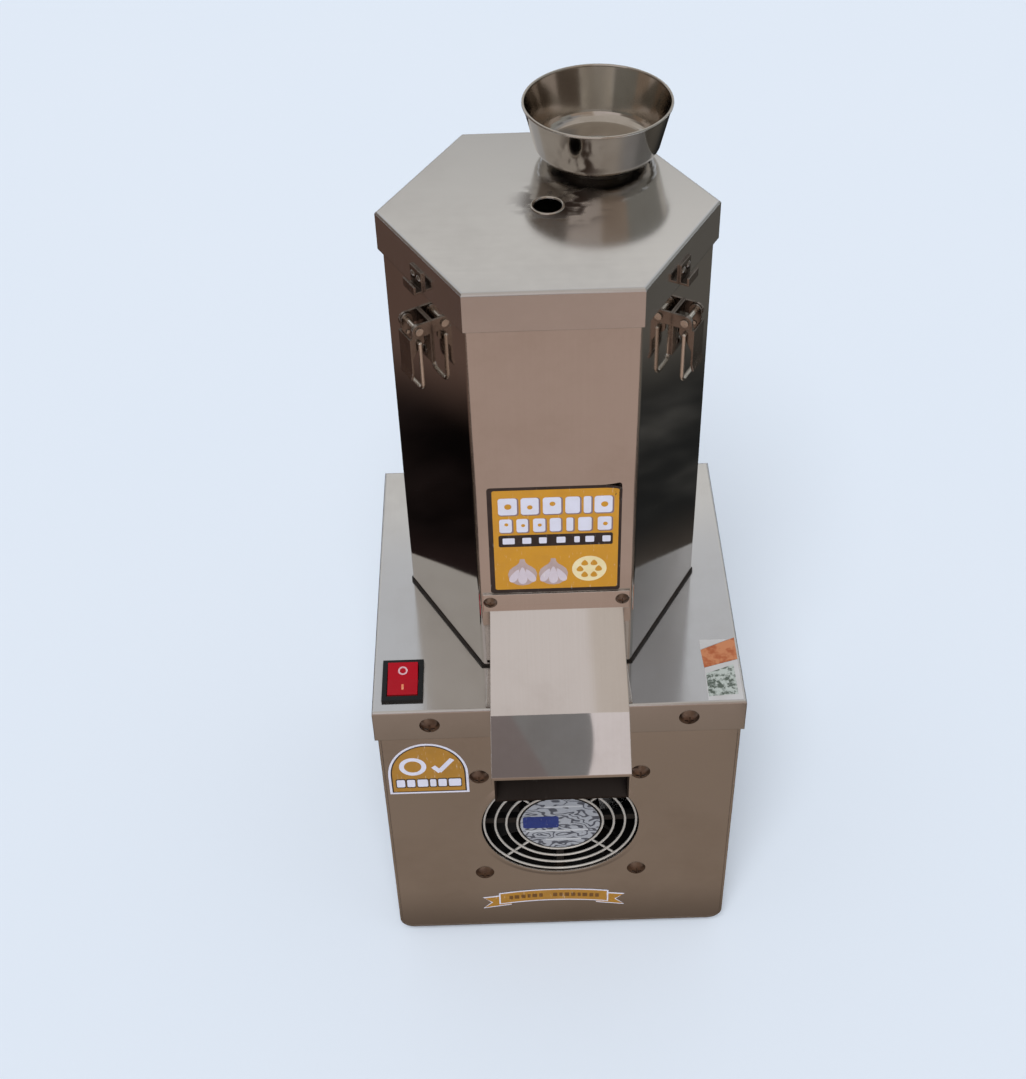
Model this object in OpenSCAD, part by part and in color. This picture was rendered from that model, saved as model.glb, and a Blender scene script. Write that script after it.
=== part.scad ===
// Garlic peeling machine: a six-sided peeling tower on a fan box.
// Millimetres, +Z up, front towards -Y, origin on the ground under the middle of the outline.

/* [Base box] */
// Width over the skirt of the top cover
base_w = 234; // [220:1:260]
// Depth over the skirt of the top cover
base_d = 230; // [222:1:260]
// Height of the box above its feet
base_h = 236; // [220:1:260]
// Sheet of the box and its cover
box_sheet = 1.5; // [1:0.1:2]
// Outside radius of the two bottom bends
box_bend = 10; // [6:0.5:16]
// Height of the folded skirt of the top cover
skirt_h = 26; // [20:1:34]
// Gap between the box and the inner end of the cover's folds
skirt_gap = 0.2; // [0.2:0.1:1]
// Outside radius of the folds of the top cover
cover_bend = 1.7; // [1.6:0.1:5]
// Distance of the skirt screws from the middle
cover_screw_x = 81.5; // [70:0.5:95]
// Drop of the skirt screws below the cover's top
cover_screw_drop = 13; // [11:0.5:15]

/* [Feet] */
// Height of the rubber feet
foot_h = 6; // [5.5:0.5:14]
// Diameter of a foot where it meets the box
foot_d = 28; // [22:1:34]
// Distance of the feet from the sides of the box
foot_inset = 30; // [24:1:45]

/* [Screws] */
// Diameter of the dome screw heads
screw_head_d = 13; // [11:0.5:14]
// Height of the dome screw heads
screw_head_h = 3.2; // [2.4:0.1:4]
// Diameter of the screw shanks
screw_d = 4; // [3:0.5:4.5]
// Play of a screw, pin or plug in its hole, on the radius
hole_gap = 0.1; // [0.05:0.01:0.2]

/* [Rear panel] */
// Number of vent slots
vent_count = 9; // [5:1:12]
// Length of a vent slot
vent_len = 90; // [60:1:120]
// Height of a vent slot
vent_h = 4; // [3:0.1:4]
// Spacing of the vent slots
vent_pitch = 10; // [8:0.5:12]
// Height of the lowest vent slot above the box floor
vent_rise = 82; // [60:1:100]
// Bore of the cable grommet
grommet_bore = 8; // [6:0.5:10]

/* [Fan] */
// Side of the square fan frame
fan_side = 119; // [116:0.5:120]
// Depth of the fan frame
fan_depth = 38; // [36:0.5:42]
// Bore of the fan's air duct
fan_bore = 113; // [110:0.5:114]
// Spacing of the fan screws
fan_pitch = 105; // [103:0.5:105.5]
// Height of the fan axis above the box floor
fan_rise = 115.5; // [107:0.5:127]
// Radius of the air hole in the front panel
air_hole_r = 53; // [48:0.5:56]
// Diameter of the fan's fixed hub
fan_hub_d = 55; // [48:1:60]
// Depth of the fan's fixed hub
fan_hub_depth = 9; // [7:0.5:11]
// Reach of the hub's face in front of the fan frame
fan_hub_proud = 2.5; // [0:0.1:3]
// Number of fan blades
blade_count = 7; // [5:1:9]
// Thickness of a fan blade
blade_t = 1.8; // [1.4:0.1:2.4]
// Pitch angle of the fan blades
blade_pitch = 38; // [30:1:45]
// Camber radius of the fan blades
blade_camber = 48; // [40:1:80]
// Play between the blade tips and the duct
blade_gap = 1.5; // [1:0.1:3]
// Wire diameter of the fan guard
guard_wire = 1.6; // [1.2:0.1:2.4]
// Number of rings in the fan guard
guard_rings = 4; // [3:1:5]
// Play between the outermost guard ring and the air hole
guard_inset = 1; // [0.6:0.1:3]
// Width of the pressed rim round the air hole
rim_w = 5; // [3:0.5:6]

/* [Rocker switch] */
// Distance of the switch from the left side of the cover
switch_side = 19; // [17.5:0.5:35]
// Distance of the switch behind the front of the cover
switch_back = 25.7; // [20:0.1:32]
// Bezel size across
bezel_w = 26; // [24:0.5:28]
// Bezel size front to back
bezel_l = 34; // [32:0.5:36]
// Bezel height above the cover
bezel_h = 2; // [1.5:0.1:3]
// Depth of the switch body under the cover
switch_depth = 22; // [16:1:28]
// Rocker size across
rocker_w = 19; // [16:0.5:20]
// Rocker size front to back
rocker_l = 25; // [22:0.5:26]
// Tilt of the rocker from one position to the other
rocker_tilt = 14; // [10:1:18]
// Play round the rocker in its window
rocker_gap = 0.4; // [0.3:0.1:0.6]

/* [Tower] */
// Radius of the tower over its six corners
tower_r = 94; // [88:0.5:97]
// Distance of the tower axis behind the middle of the base
tower_back = 3.3; // [0:0.1:6]
// Height of the lid's top above the base top
tower_rise = 286.4; // [260:0.2:320]
// Sheet of the tower
tower_sheet = 1.4; // [1:0.1:2]
// Outside radius of the tower's corner folds
tower_bend = 3; // [2.2:0.1:5]
// Width of the tower's bottom flange
tower_flange = 18; // [16:0.5:22]
// Thickness of the seal under the tower
gasket_t = 2; // [1.5:0.1:3]
// Reach of the seal beyond the tower
gasket_proud = 0.8; // [0.5:0.1:2]

/* [Chamber] */
// Thickness of the chamber floor
floor_t = 3; // [2:0.5:5]
// Sheet of the drum
drum_sheet = 1.2; // [0.8:0.1:2]
// Gap between drum and tower faces
drum_gap = 2; // [1:0.1:4]
// Gap between the drum's top and the lid
drum_drop = 3; // [1.5:0.5:8]
// Width of the outlet in drum and tower
outlet_w = 70; // [56:1:74]
// Height of the outlet above the chamber floor
outlet_h = 40; // [34:1:43]

/* [Chute] */
// Width of the chute cover at the tower
chute_w = 82; // [78:0.5:86]
// Width of the chute cover at the mouth
chute_mouth_w = 87; // [82:0.5:92]
// Reach of the chute in front of the base
chute_reach = 33; // [26:0.5:45]
// Height of the cover's start above the base top
chute_rise = 52; // [48:0.5:60]
// Height of the cover's crease above the base top
crease_rise = 8; // [4:0.5:14]
// Distance of the crease behind the mouth
crease_back = 21; // [15:0.5:26]
// Depth of the mouth's upper edge below the base top
mouth_drop = 26.5; // [22:0.5:32]
// Height of the mouth
mouth_h = 21.5; // [18:0.5:26]
// Sheet of the chute
chute_sheet = 1.2; // [0.8:0.1:1.6]
// Gap between cover lips and tray walls
chute_gap = 0.4; // [0.2:0.1:0.8]
// Depth of the cover's side lips
chute_lip = 7; // [5:0.5:10]
// Height of the cover's flange on the tower
chute_flange = 13; // [11:0.5:16]
// Width of the cover's flange on the tower
chute_flange_w = 90; // [84:0.5:90]
// Distance of the flange screws from the middle
chute_screw_x = 40.5; // [34:0.5:40.5]
// Width of the tray's flanges on the base top
tray_flange = 5; // [3:0.5:8]
// Step from chamber floor down to the tray
tray_step = 1; // [0.5:0.1:2]

/* [Lid] */
// Sheet of the lid
lid_sheet = 1.4; // [1:0.1:2]
// Height of the lid's skirt
lid_skirt = 24.4; // [20:0.2:30]
// Gap between the tower and the inner end of the lid's folds
lid_gap = 0.2; // [0.1:0.1:1]
// Outside radius of the lid's folds
lid_bend = 2; // [1.8:0.1:5]
// Diameter of the centre hole
eyelet_bore = 16; // [12:0.5:20]
// Thickness of the raised rim round the centre hole
eyelet_t = 0.9; // [0.6:0.1:3]

/* [Feed bowl] */
// Rim radius of the bowl inside its bead
bowl_r = 42.8; // [38:0.1:48]
// Height of the bowl
bowl_h = 32; // [26:0.5:38]
// Radius of the bowl's flat bottom
bowl_bottom_r = 28; // [24:0.5:32]
// Radius of the bowl's lower corner
bowl_corner = 9; // [5:0.5:12]
// Sheet of the bowl
bowl_sheet = 0.9; // [0.7:0.1:1.4]
// Height of the collar between lid and bowl
collar_h = 3.6; // [3:0.2:8]
// Outside radius of the feed throat
throat_r = 15; // [13:0.5:17]
// Wall of the feed throat
throat_wall = 1.2; // [0.8:0.1:2]
// Reach of the feed throat below the lid
throat_drop = 20; // [12:1:30]
// Gap between feed throat and drum
throat_gap = 1; // [0.6:0.1:3]

/* [Spindle] */
// Diameter of the shafts
shaft_d = 15; // [12:0.5:17]
// Running play of a shaft or pin, on the radius
run_gap = 0.05; // [0.02:0.01:0.08]
// Outside diameter of the shaft bearing
bearing_d = 35; // [32:0.5:38]
// Width of the shaft bearing
bearing_w = 11; // [9:0.5:13]
// Radius of the rotor core
rotor_r = 18; // [16:0.5:22]
// Length of the rotor core
rotor_len = 200; // [180:1:215]
// Height of the rotor core above the chamber floor
rotor_rise = 8; // [6:0.5:12]
// Tiers of rubber fingers
finger_tiers = 4; // [3:1:5]
// Rubber fingers in a tier
finger_row = 4; // [3:1:4]
// Diameter of a rubber finger
finger_d = 12; // [9:0.5:14]
// Gap between finger tips and drum
finger_gap = 8; // [5:0.5:14]

/* [Motor] */
// Diameter of the motor body
motor_d = 104; // [90:1:108]
// Length of the motor body between its end bells
motor_len = 86; // [70:1:95]
// Height of an end bell
bell_h = 18; // [14:1:22]
// Length of the posts that carry the motor
post_len = 40; // [38:1:46]
// Distance of the posts from the axis, each way
post_x = 48; // [44:0.5:50]
// Diameter of the posts
post_d = 12; // [10:0.5:14]
// Thickness of the motor's mount plate
mount_t = 4; // [3:0.5:6]

/* [Latches] */
// Drop of the latch pin below the lid's top
latch_drop = 45.4; // [43:0.2:60]
// Width between the ears of a latch base
latch_w = 14; // [13:0.5:22]
// Sheet of the latch parts
latch_sheet = 1.2; // [0.8:0.1:1.5]
// Distance of the latch pin from the tower's face
latch_pin_out = 8; // [7:0.5:10]
// Diameter of the latch pin
latch_pin_d = 3; // [2.5:0.1:3.5]
// Distance from the latch pin down to the bail's pivot
bail_arm = 8; // [7.5:0.5:10]
// Length of the bail
bail_len = 32; // [30:0.5:37]
// Wire diameter of the bail
bail_wire = 2.4; // [2:0.1:2.8]
// Length of the lever below the bail's pivot
lever_len = 20; // [16:0.5:27]
// Height of the keeper's hook below the lid's top
keeper_drop = 21.4; // [20:0.2:24]
// Width of the keeper
keeper_w = 12.5; // [12:0.5:18]

/* [Hidden] */
$fn = 64;

// Excess by which a cutting shape passes the face that it cuts
cut = 1;
steel = "silver";
dark_steel = "dimgray";
rubber = "#202020";

// Base box
screw_r = screw_d / 2;
screw_hole = screw_r + hole_gap;
base_top = foot_h + base_h;
box_top = base_top - box_sheet;
box_w = base_w - 2 * (cover_bend + skirt_gap);
box_d = base_d - 2 * (cover_bend + skirt_gap);
base_y = (chute_reach - screw_head_h) / 2;
front_y = base_y - box_d / 2;
rear_y = base_y + box_d / 2;
skirt_front_y = base_y - base_d / 2;
skirt_rear_y = base_y + base_d / 2;
panel_gap = 0.1;
cover_screw_z = base_top - cover_screw_drop;
screw_reach = 8;
recess_w = 0.22;
recess_d = 0.4;
screw_tip = 2;

// Feet
foot_x = box_w / 2 - foot_inset;
foot_y = box_d / 2 - foot_inset;
foot_taper = 2;
foot_pocket_r = 5.5;
foot_web = 3;
foot_head_r = 4.5;
foot_head_h = 2.2;

// Rear panel
grommet_neck = 3.6;
grommet_flange = 2.6;
grommet_t = 1.8;
grommet_side = 42;
grommet_rise = 36;
grommet_x = box_w / 2 - grommet_side;
grommet_z = foot_h + grommet_rise;

// Fan, with its local axis running back into the box from the front face of the fan frame
guard_r = guard_wire / 2;
guard_play = 0.05;
fan_gap = guard_wire + 2 * guard_play;
fan_z = foot_h + fan_rise;
fan_y = front_y + box_sheet + fan_gap;
fan_r = fan_bore / 2;
fan_flange = 5;
fan_wall = 2.6;
fan_corner = 5;
fan_shaft_r = 2.5;
strut_w = 5;
strut_d = 5;
strut_start = 1;
hub_r = fan_hub_d / 2;
cup_gap = 1;
cup_back = 7;
cup_start = fan_hub_depth + cup_gap;
cup_end = fan_depth - cup_back;
cup_step = 0.5;
cup_r = hub_r - cup_step;
blade_trim = 3.8;
blade_root = 0.5;
guard_bite = 0.3;
guard_eye_gap = 0.6;
guard_hub_gap = 0.5;
guard_out_r = air_hole_r - guard_r - guard_inset;
guard_in_r = hub_r + guard_r + guard_hub_gap;
guard_pitch = (guard_out_r - guard_in_r) / (guard_rings - 1);
spoke_z = -guard_r - guard_play;
ring_z = spoke_z - guard_wire + guard_bite;
guard_eye_r = screw_r + guard_r + guard_eye_gap;
panel_front = box_sheet + fan_gap;
rim_h = 0.9;
rim_top = 1.5;
fan_nut_r = 4.2;
fan_nut_h = 3.2;
fan_screw_len = panel_front + fan_flange + fan_nut_h + screw_tip;

// Switch
switch_cx = switch_side - base_w / 2;
switch_cy = skirt_front_y + switch_back;
switch_wall = 1.2;
rocker_swing = 0.8;
switch_body_w = rocker_w + 2 * (rocker_gap + switch_wall);
switch_body_l = rocker_l + 2 * (rocker_gap + rocker_swing + switch_wall);
rocker_pivot_drop = 3;
rocker_pin_r = 1.5;
rocker_pin_len = 0.8;
rocker_depth = 7;
rocker_neck = 8;
rocker_rear_lip = 1;
rocker_front_lip = 3;
switch_floor = 2;

// Tower, lid and chamber
fold_steps = 6;
tower_flat = tower_r * cos(30);
tower_in = tower_flat - tower_sheet;
tower_y = base_y + tower_back;
tower_face_y = tower_y - tower_flat;
tower_low = base_top + gasket_t;
lid_top = base_top + tower_rise;
lid_seat = lid_top - lid_sheet;
lid_rest = 0.02;
lid_low = lid_top - lid_skirt;
lid_in = tower_flat + lid_gap + lid_bend - lid_sheet;
lid_flat = lid_in + lid_sheet;
floor_low = tower_low + tower_sheet;
floor_top = floor_low + floor_t;
floor_gap = 0.3;
drum_out_r = tower_in - drum_gap;
drum_r = drum_out_r - drum_sheet;
drum_top = lid_seat - drum_drop;
tower_bolt_head_r = 4;
tower_bolt_head_h = 3;
tower_bolt_gap = 1.2;
tower_bolt_r = drum_out_r + tower_bolt_head_r + tower_bolt_gap;
nut_h = 4;
bolt_tip = 3;
tower_bolt_len = floor_top - box_top + nut_h + bolt_tip;

// Chute
chute_top_z = base_top + chute_rise;
crease_y = skirt_front_y - chute_reach + crease_back;
crease_z = base_top + crease_rise;
mouth_y = skirt_front_y - chute_reach;
mouth_top_z = base_top - mouth_drop;
mouth_low_z = mouth_top_z - mouth_h;
chute_flare = (chute_mouth_w - chute_w) / 2 / (tower_face_y - mouth_y);
upper_slope = (chute_top_z - crease_z) / (tower_face_y - crease_y);
lower_slope = (crease_z - mouth_top_z) / (crease_y - mouth_y);
tray_start = floor_top - tray_step;
tray_slope = (tray_start - mouth_low_z) / (tower_face_y - mouth_y);
tray_side = chute_sheet + chute_gap;
notch_gap = 0.6;
notch_margin = 4;
notch_back_y = tower_face_y - notch_margin;
chute_screw_z = chute_top_z + chute_flange / 2;
chute_head_r = 4.3;
chute_head_h = 2.4;
function slant(slope) = sqrt(1 + slope * slope);
upper_drop = chute_sheet * slant(upper_slope);
lower_drop = chute_sheet * slant(lower_slope);
floor_drop = chute_sheet * slant(tray_slope);

// Lid fittings; the feed stands on the line to the tower's rear right corner
feed_angle = 60;
feed_r = drum_r - throat_gap - throat_r;
feed_x = feed_r * cos(feed_angle);
feed_y = tower_y + feed_r * sin(feed_angle);
bowl_low = lid_top + collar_h;
collar_w = 6;
collar_r = throat_r + collar_w;
bowl_steps = 8;
bowl_bead = 0.8;
bowl_lean = 17;

// Spindle
shaft_r = shaft_d / 2;
bearing_r = bearing_d / 2;
boss_wall = 8;
boss_r = bearing_r + boss_wall;
housing_rim = 14;
housing_flange_r = boss_r + housing_rim;
housing_flange_t = 6;
housing_bolt_r = boss_r + housing_rim / 2;
housing_head_h = 3;
housing_top = floor_low;
housing_low = box_top - mount_t - housing_flange_t;
pocket_lip = 1;
pocket_top = housing_low + bearing_w + pocket_lip;
seal_wall = 6;
seal_r = shaft_r + seal_wall;
seal_rise = 2;
rotor_low = floor_top + rotor_rise;
rotor_top = rotor_low + rotor_len;
shaft_step = 3;
shaft_collar_r = shaft_r + shaft_step;
shaft_collar_h = 4;
rotor_nut_h = 10;
rotor_nut_wall = 6;
rotor_nut_r = shaft_r + rotor_nut_wall;
shaft_tip = 4;
finger_r = finger_d / 2;
core_wall = 3;
finger_root = shaft_r + core_wall;
finger_tip = drum_r - finger_gap;
finger_twist = 22.5;
finger_margin = 22;
finger_pitch = (rotor_len - 2 * finger_margin) / (finger_tiers - 1);

// Motor, hung below the mount plate
motor_top = box_top - mount_t - post_len;
motor_flange_t = 6;
motor_boss_wall = 8;
motor_boss_r = shaft_r + motor_boss_wall;
motor_boss_h = 4;
motor_body_top = motor_top - motor_flange_t - bell_h;
motor_body_low = motor_body_top - motor_len;
motor_rim = 10;
motor_flange_r = post_x * sqrt(2) + motor_rim;
bell_step = 2;
bell_r = motor_d / 2 - bell_step;
fin_count = 24;
fin_h = 3.5;
fin_w = 3;
shaft_socket = 30;
post_stud_r = 3;
stud_tip = 3;
coupling_wall = 7;
coupling_r = shaft_r + coupling_wall;
coupling_gap = 2;
coupling_low = motor_top + motor_boss_h + coupling_gap;
coupling_top = housing_low - housing_head_h;
coupling_mid = (coupling_low + coupling_top) / 2;
shaft_joint = 0.2;
mount_margin = 4;
mount_side = 2 * (post_x + post_d / 2 + mount_margin);
cap_r = 17.5;
cap_h = 62;
terminal_w = 6;
terminal_t = 0.8;
terminal_h = 10;
cap_side = 30;
cap_back = 20;
cap_x = cap_side - box_w / 2;
cap_y = base_y + cap_back;
clip_h = 14;
clip_t = 1.2;
clip_tab = 16;
clip_lap = 2;

// Latches
latch_z = lid_top - latch_drop;
latch_in = latch_w / 2;
latch_out = latch_in + latch_sheet;
ear_r = 4.2;
latch_plate_up = ear_r;
latch_plate_down = 24;
lever_gap = 0.3;
lever_out = latch_in - lever_gap;
lever_in = lever_out - latch_sheet;
lever_r = 3.8;
bail_z = latch_z - bail_arm;
bail_r = bail_wire / 2;
bail_play = 0.5;
bail_half = lever_out + bail_play + bail_r;
bail_bend = 4;
web_step = 4;
web_out = latch_pin_out + web_step;
web_rise = 3;
web_top = bail_z + web_rise;
web_low = bail_z - lever_len;
cheek_rise = 9;
tip_turn = 14;
tip_len = 4.5;
pin_r = latch_pin_d / 2;
pin_head_step = 0.8;
pin_head_r = pin_r + pin_head_step;
pin_head_h = 1;
rivet_r = 1.5;
rivet_head_r = 2.6;
rivet_head_h = 1.2;
latch_rivet_top = 11;
latch_rivet_gap = 8;
keeper_z = lid_top - keeper_drop;
keeper_play = 1.2;
keeper_slot = bail_wire + keeper_play;
keeper_lip = 5;
keeper_up = 11;
keeper_rivet_x = 3.2;
keeper_rivet_up = 5.8;
left_angle = 210;
right_angle = 330;

// Helpers

// Draws a flat X-Z outline from y0 to y1
module along_y(y0, y1) {
    translate([0, y1, 0])
        rotate([90, 0, 0])
            linear_extrude(y1 - y0)
                children();
}

// Draws a flat Y-Z outline from x0 to x1
module along_x(x0, x1) {
    translate([x0, 0, 0])
        rotate([90, 0, 90])
            linear_extrude(x1 - x0)
                children();
}

// Rectangle with its two lower corners rounded
module trough(half_w, low, high, bend) {
    translate([-half_w, low + bend])
        square([2 * half_w, high - low - bend]);
    translate([bend - half_w, low])
        square([2 * (half_w - bend), 2 * bend]);
    for (side = [-1, 1])
        translate([side * (half_w - bend), low + bend])
            circle(r = bend);
}

// Rectangle with its two upper corners rounded
module arch(half_w, low, high, bend) {
    translate([-half_w, low])
        square([2 * half_w, high - low - bend]);
    translate([bend - half_w, high - 2 * bend])
        square([2 * (half_w - bend), 2 * bend]);
    for (side = [-1, 1])
        translate([side * (half_w - bend), high - bend])
            circle(r = bend);
}

// Square with rounded corners, centred
module soft_square(side, corner) {
    square([side, side - 2 * corner], center = true);
    square([side - 2 * corner, side], center = true);
    for (x = [-1, 1], y = [-1, 1])
        translate([x, y] * (side / 2 - corner))
            circle(r = corner);
}

// Slot with round ends, centred
module slot_2d(length, width) {
    square([length - width, width], center = true);
    for (side = [-1, 1])
        translate([side * (length - width) / 2, 0])
            circle(r = width / 2);
}

// Hexagon by half its distance across flats, with folded corners
module hex_2d(flat, bend) {
    core = (flat - bend) / cos(30);
    polygon([
        for (i = [0 : 5], k = [0 : fold_steps])
            let (a = 60 * (i - 0.5 + k / fold_steps))
                core * [cos(60 * i), sin(60 * i)] + bend * [cos(a), sin(a)]
    ]);
}

// Six-sided cap block with its top edges folded over
module hex_cap(flat, low, high, bend) {
    intersection_for(i = [0 : 2])
        rotate(30 + 60 * i)
            along_y(-2 * flat, 2 * flat)
                arch(flat, low, high, bend);
}

// Four-sided cap block with its top edges folded over
module box_cap(w, d, low, high, bend) {
    intersection() {
        along_y(-d / 2, d / 2)
            arch(w / 2, low, high, bend);
        along_x(-w / 2, w / 2)
            arch(d / 2, low, high, bend);
    }
}

// Pipe standing on z = 0
module pipe(outer, inner, height) {
    difference() {
        cylinder(r = outer, h = height);
        translate([0, 0, -cut])
            cylinder(r = inner, h = height + 2 * cut);
    }
}

// Screw pointing down from z = 0, with a domed, cross-slotted head above it
module dome_screw(head_r, head_h, shank_r, reach, slotted = true) {
    ball = (head_r * head_r + head_h * head_h) / (2 * head_h);
    difference() {
        intersection() {
            translate([0, 0, head_h - ball])
                sphere(r = ball);
            cylinder(r = head_r, h = head_h);
        }
        if (slotted)
            for (turn = [0, 90])
                rotate(turn)
                    translate([0, 0, head_h])
                        cube([head_r, recess_w * head_r, 2 * recess_d * head_h], center = true);
    }
    translate([0, 0, -reach])
        cylinder(r = shank_r, h = reach + head_h / 2);
}

// Screw pointing down from z = 0, with a hexagonal head above it
module hex_bolt(head_r, head_h, shank_r, reach) {
    cylinder(r = head_r, h = head_h, $fn = 6);
    translate([0, 0, -reach])
        cylinder(r = shank_r, h = reach + head_h / 2);
}

// Hexagonal nut standing on z = 0
module hex_nut(r, bore_r, h) {
    difference() {
        cylinder(r = r, h = h, $fn = 6);
        translate([0, 0, -cut])
            cylinder(r = bore_r, h = h + 2 * cut);
    }
}

// Places
module on_tower() {
    translate([0, tower_y, 0])
        children();
}

// Local x runs out of a tower face at the given distance from the axis, local y runs along it
module on_face(angle, flat) {
    on_tower()
        rotate(angle)
            translate([flat, 0, 0])
                children();
}

module at_fan() {
    translate([0, fan_y, fan_z])
        rotate([-90, 0, 0])
            children();
}

module at_fan_screws() {
    at_fan()
        for (x = [-1, 1], y = [-1, 1])
            translate([x, y, 0] * fan_pitch / 2)
                children();
}

module at_feet() {
    for (x = [-1, 1], y = [-1, 1])
        translate([x * foot_x, base_y + y * foot_y, 0])
            children();
}

// Skirt screws, pointing into the box at front and rear
module at_cover_screws() {
    for (x = [-1, 1]) {
        translate([x * cover_screw_x, skirt_front_y, cover_screw_z])
            rotate([90, 0, 0])
                children();
        translate([x * cover_screw_x, skirt_rear_y, cover_screw_z])
            rotate([-90, 0, 0])
                children();
    }
}

module at_tower_bolts() {
    on_tower()
        for (i = [0 : 5])
            rotate(60 * i)
                translate([tower_bolt_r, 0, 0])
                    children();
}

module at_posts() {
    on_tower()
        for (x = [-1, 1], y = [-1, 1])
            translate([x * post_x, y * post_x, 0])
                children();
}

module at_housing_bolts() {
    on_tower()
        for (i = [0 : 3])
            rotate(90 * i)
                translate([housing_bolt_r, 0, 0])
                    children();
}

module at_feed() {
    translate([feed_x, feed_y, 0])
        children();
}

// Base box

module base_wrap() {
    color(steel)
        difference() {
            along_y(front_y, rear_y)
                difference() {
                    trough(box_w / 2, foot_h, box_top, box_bend);
                    trough(box_w / 2 - box_sheet, foot_h + box_sheet, box_top + cut, box_bend - box_sheet);
                }
            at_feet()
                translate([0, 0, foot_h - cut])
                    cylinder(r = screw_hole, h = box_sheet + 2 * cut);
        }
}

// Sheet that closes one end of the wrap
module end_sheet() {
    trough(box_w / 2 - box_sheet - panel_gap, foot_h + box_sheet + panel_gap, box_top,
        box_bend - box_sheet - panel_gap);
}

module cover_screw_holes() {
    at_cover_screws()
        translate([0, 0, -screw_reach - cut])
            cylinder(r = screw_hole, h = screw_reach + 2 * cut);
}

// Low rim pressed forward round the air hole
module air_rim() {
    rotate_extrude()
        polygon([
            [air_hole_r - cut, box_sheet / 2 - panel_front], [air_hole_r - cut, -panel_front - rim_h],
            [air_hole_r + rim_top, -panel_front - rim_h], [air_hole_r + rim_w, -panel_front],
            [air_hole_r + rim_w, box_sheet / 2 - panel_front]
        ]);
}

module front_panel() {
    color(steel)
        difference() {
            union() {
                along_y(front_y, front_y + box_sheet)
                    end_sheet();
                at_fan()
                    air_rim();
            }
            at_fan()
                translate([0, 0, -panel_front - rim_h - cut])
                    cylinder(r = air_hole_r, h = rim_h + box_sheet + 2 * cut);
            at_fan_screws()
                translate([0, 0, -panel_front - cut])
                    cylinder(r = screw_hole, h = box_sheet + 2 * cut);
            cover_screw_holes();
            chute_notch();
        }
}

module rear_panel() {
    color(steel)
        difference() {
            along_y(rear_y - box_sheet, rear_y)
                difference() {
                    end_sheet();
                    for (i = [0 : vent_count - 1])
                        translate([0, foot_h + vent_rise + i * vent_pitch])
                            slot_2d(vent_len, vent_h);
                }
            translate([grommet_x, rear_y + cut, grommet_z])
                rotate([90, 0, 0])
                    cylinder(r = grommet_bore / 2 + grommet_neck + hole_gap, h = box_sheet + 2 * cut);
            cover_screw_holes();
        }
}

module base_top_cover() {
    color(steel)
        difference() {
            translate([0, base_y, 0])
                difference() {
                    box_cap(base_w, base_d, base_top - skirt_h, base_top, cover_bend);
                    box_cap(base_w - 2 * box_sheet, base_d - 2 * box_sheet, base_top - skirt_h - cut, box_top,
                        cover_bend - box_sheet);
                }
            chute_notch(skirt_h);
            cover_screw_holes();
            translate([switch_cx, switch_cy, base_top])
                cube([switch_body_w + 2 * hole_gap, switch_body_l + 2 * hole_gap, 4 * box_sheet],
                    center = true);
            on_tower()
                translate([0, 0, box_top - cut])
                    cylinder(r = boss_r + hole_gap, h = box_sheet + 2 * cut);
            at_tower_bolts()
                translate([0, 0, box_top - cut])
                    cylinder(r = screw_hole, h = box_sheet + 2 * cut);
        }
}

module cover_screws() {
    color(dark_steel)
        at_cover_screws()
            dome_screw(screw_head_d / 2, screw_head_h, screw_r, screw_reach);
}

module rubber_feet() {
    color(rubber)
        at_feet()
            difference() {
                rotate_extrude()
                    polygon([[0, 0], [foot_d / 2 - foot_taper, 0], [foot_d / 2, foot_h], [0, foot_h]]);
                translate([0, 0, -cut])
                    cylinder(r = foot_pocket_r, h = foot_h - foot_web + cut);
                cylinder(r = screw_hole, h = foot_h + cut);
            }
}

module foot_screws() {
    color(dark_steel)
        at_feet()
            translate([0, 0, foot_h - foot_web])
                rotate([180, 0, 0])
                    dome_screw(foot_head_r, foot_head_h, screw_r, foot_web + box_sheet + screw_reach);
}

module cable_grommet() {
    neck_r = grommet_bore / 2 + grommet_neck;
    color(rubber)
        translate([grommet_x, rear_y, grommet_z])
            rotate([90, 0, 0])
                difference() {
                    union() {
                        translate([0, 0, -grommet_t])
                            cylinder(r = neck_r + grommet_flange, h = grommet_t);
                        cylinder(r = neck_r, h = box_sheet);
                        translate([0, 0, box_sheet])
                            cylinder(r = neck_r + grommet_flange, h = grommet_t);
                    }
                    translate([0, 0, -grommet_t - cut])
                        cylinder(r = grommet_bore / 2, h = box_sheet + 2 * (grommet_t + cut));
                }
}

// Fan

module fan_frame() {
    color(rubber)
        at_fan() {
            difference() {
                union() {
                    linear_extrude(fan_flange)
                        soft_square(fan_side, fan_corner);
                    translate([0, 0, fan_depth - fan_flange])
                        linear_extrude(fan_flange)
                            soft_square(fan_side, fan_corner);
                    cylinder(r = fan_r + fan_wall, h = fan_depth);
                }
                translate([0, 0, -cut])
                    cylinder(r = fan_r, h = fan_depth + 2 * cut);
                for (x = [-1, 1], y = [-1, 1])
                    translate([x * fan_pitch / 2, y * fan_pitch / 2, -cut])
                        cylinder(r = screw_hole, h = fan_depth + 2 * cut);
            }
            difference() {
                union() {
                    translate([0, 0, -fan_hub_proud])
                        cylinder(r = hub_r, h = fan_hub_depth + fan_hub_proud);
                    for (i = [0 : 3])
                        rotate(90 * i)
                            translate([hub_r - cut, -strut_w / 2, strut_start])
                                cube([fan_r - hub_r + 2 * cut, strut_w, strut_d]);
                }
                translate([0, 0, fan_hub_depth / 2])
                    cylinder(r = fan_shaft_r + run_gap, h = fan_hub_depth);
            }
        }
}

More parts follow.
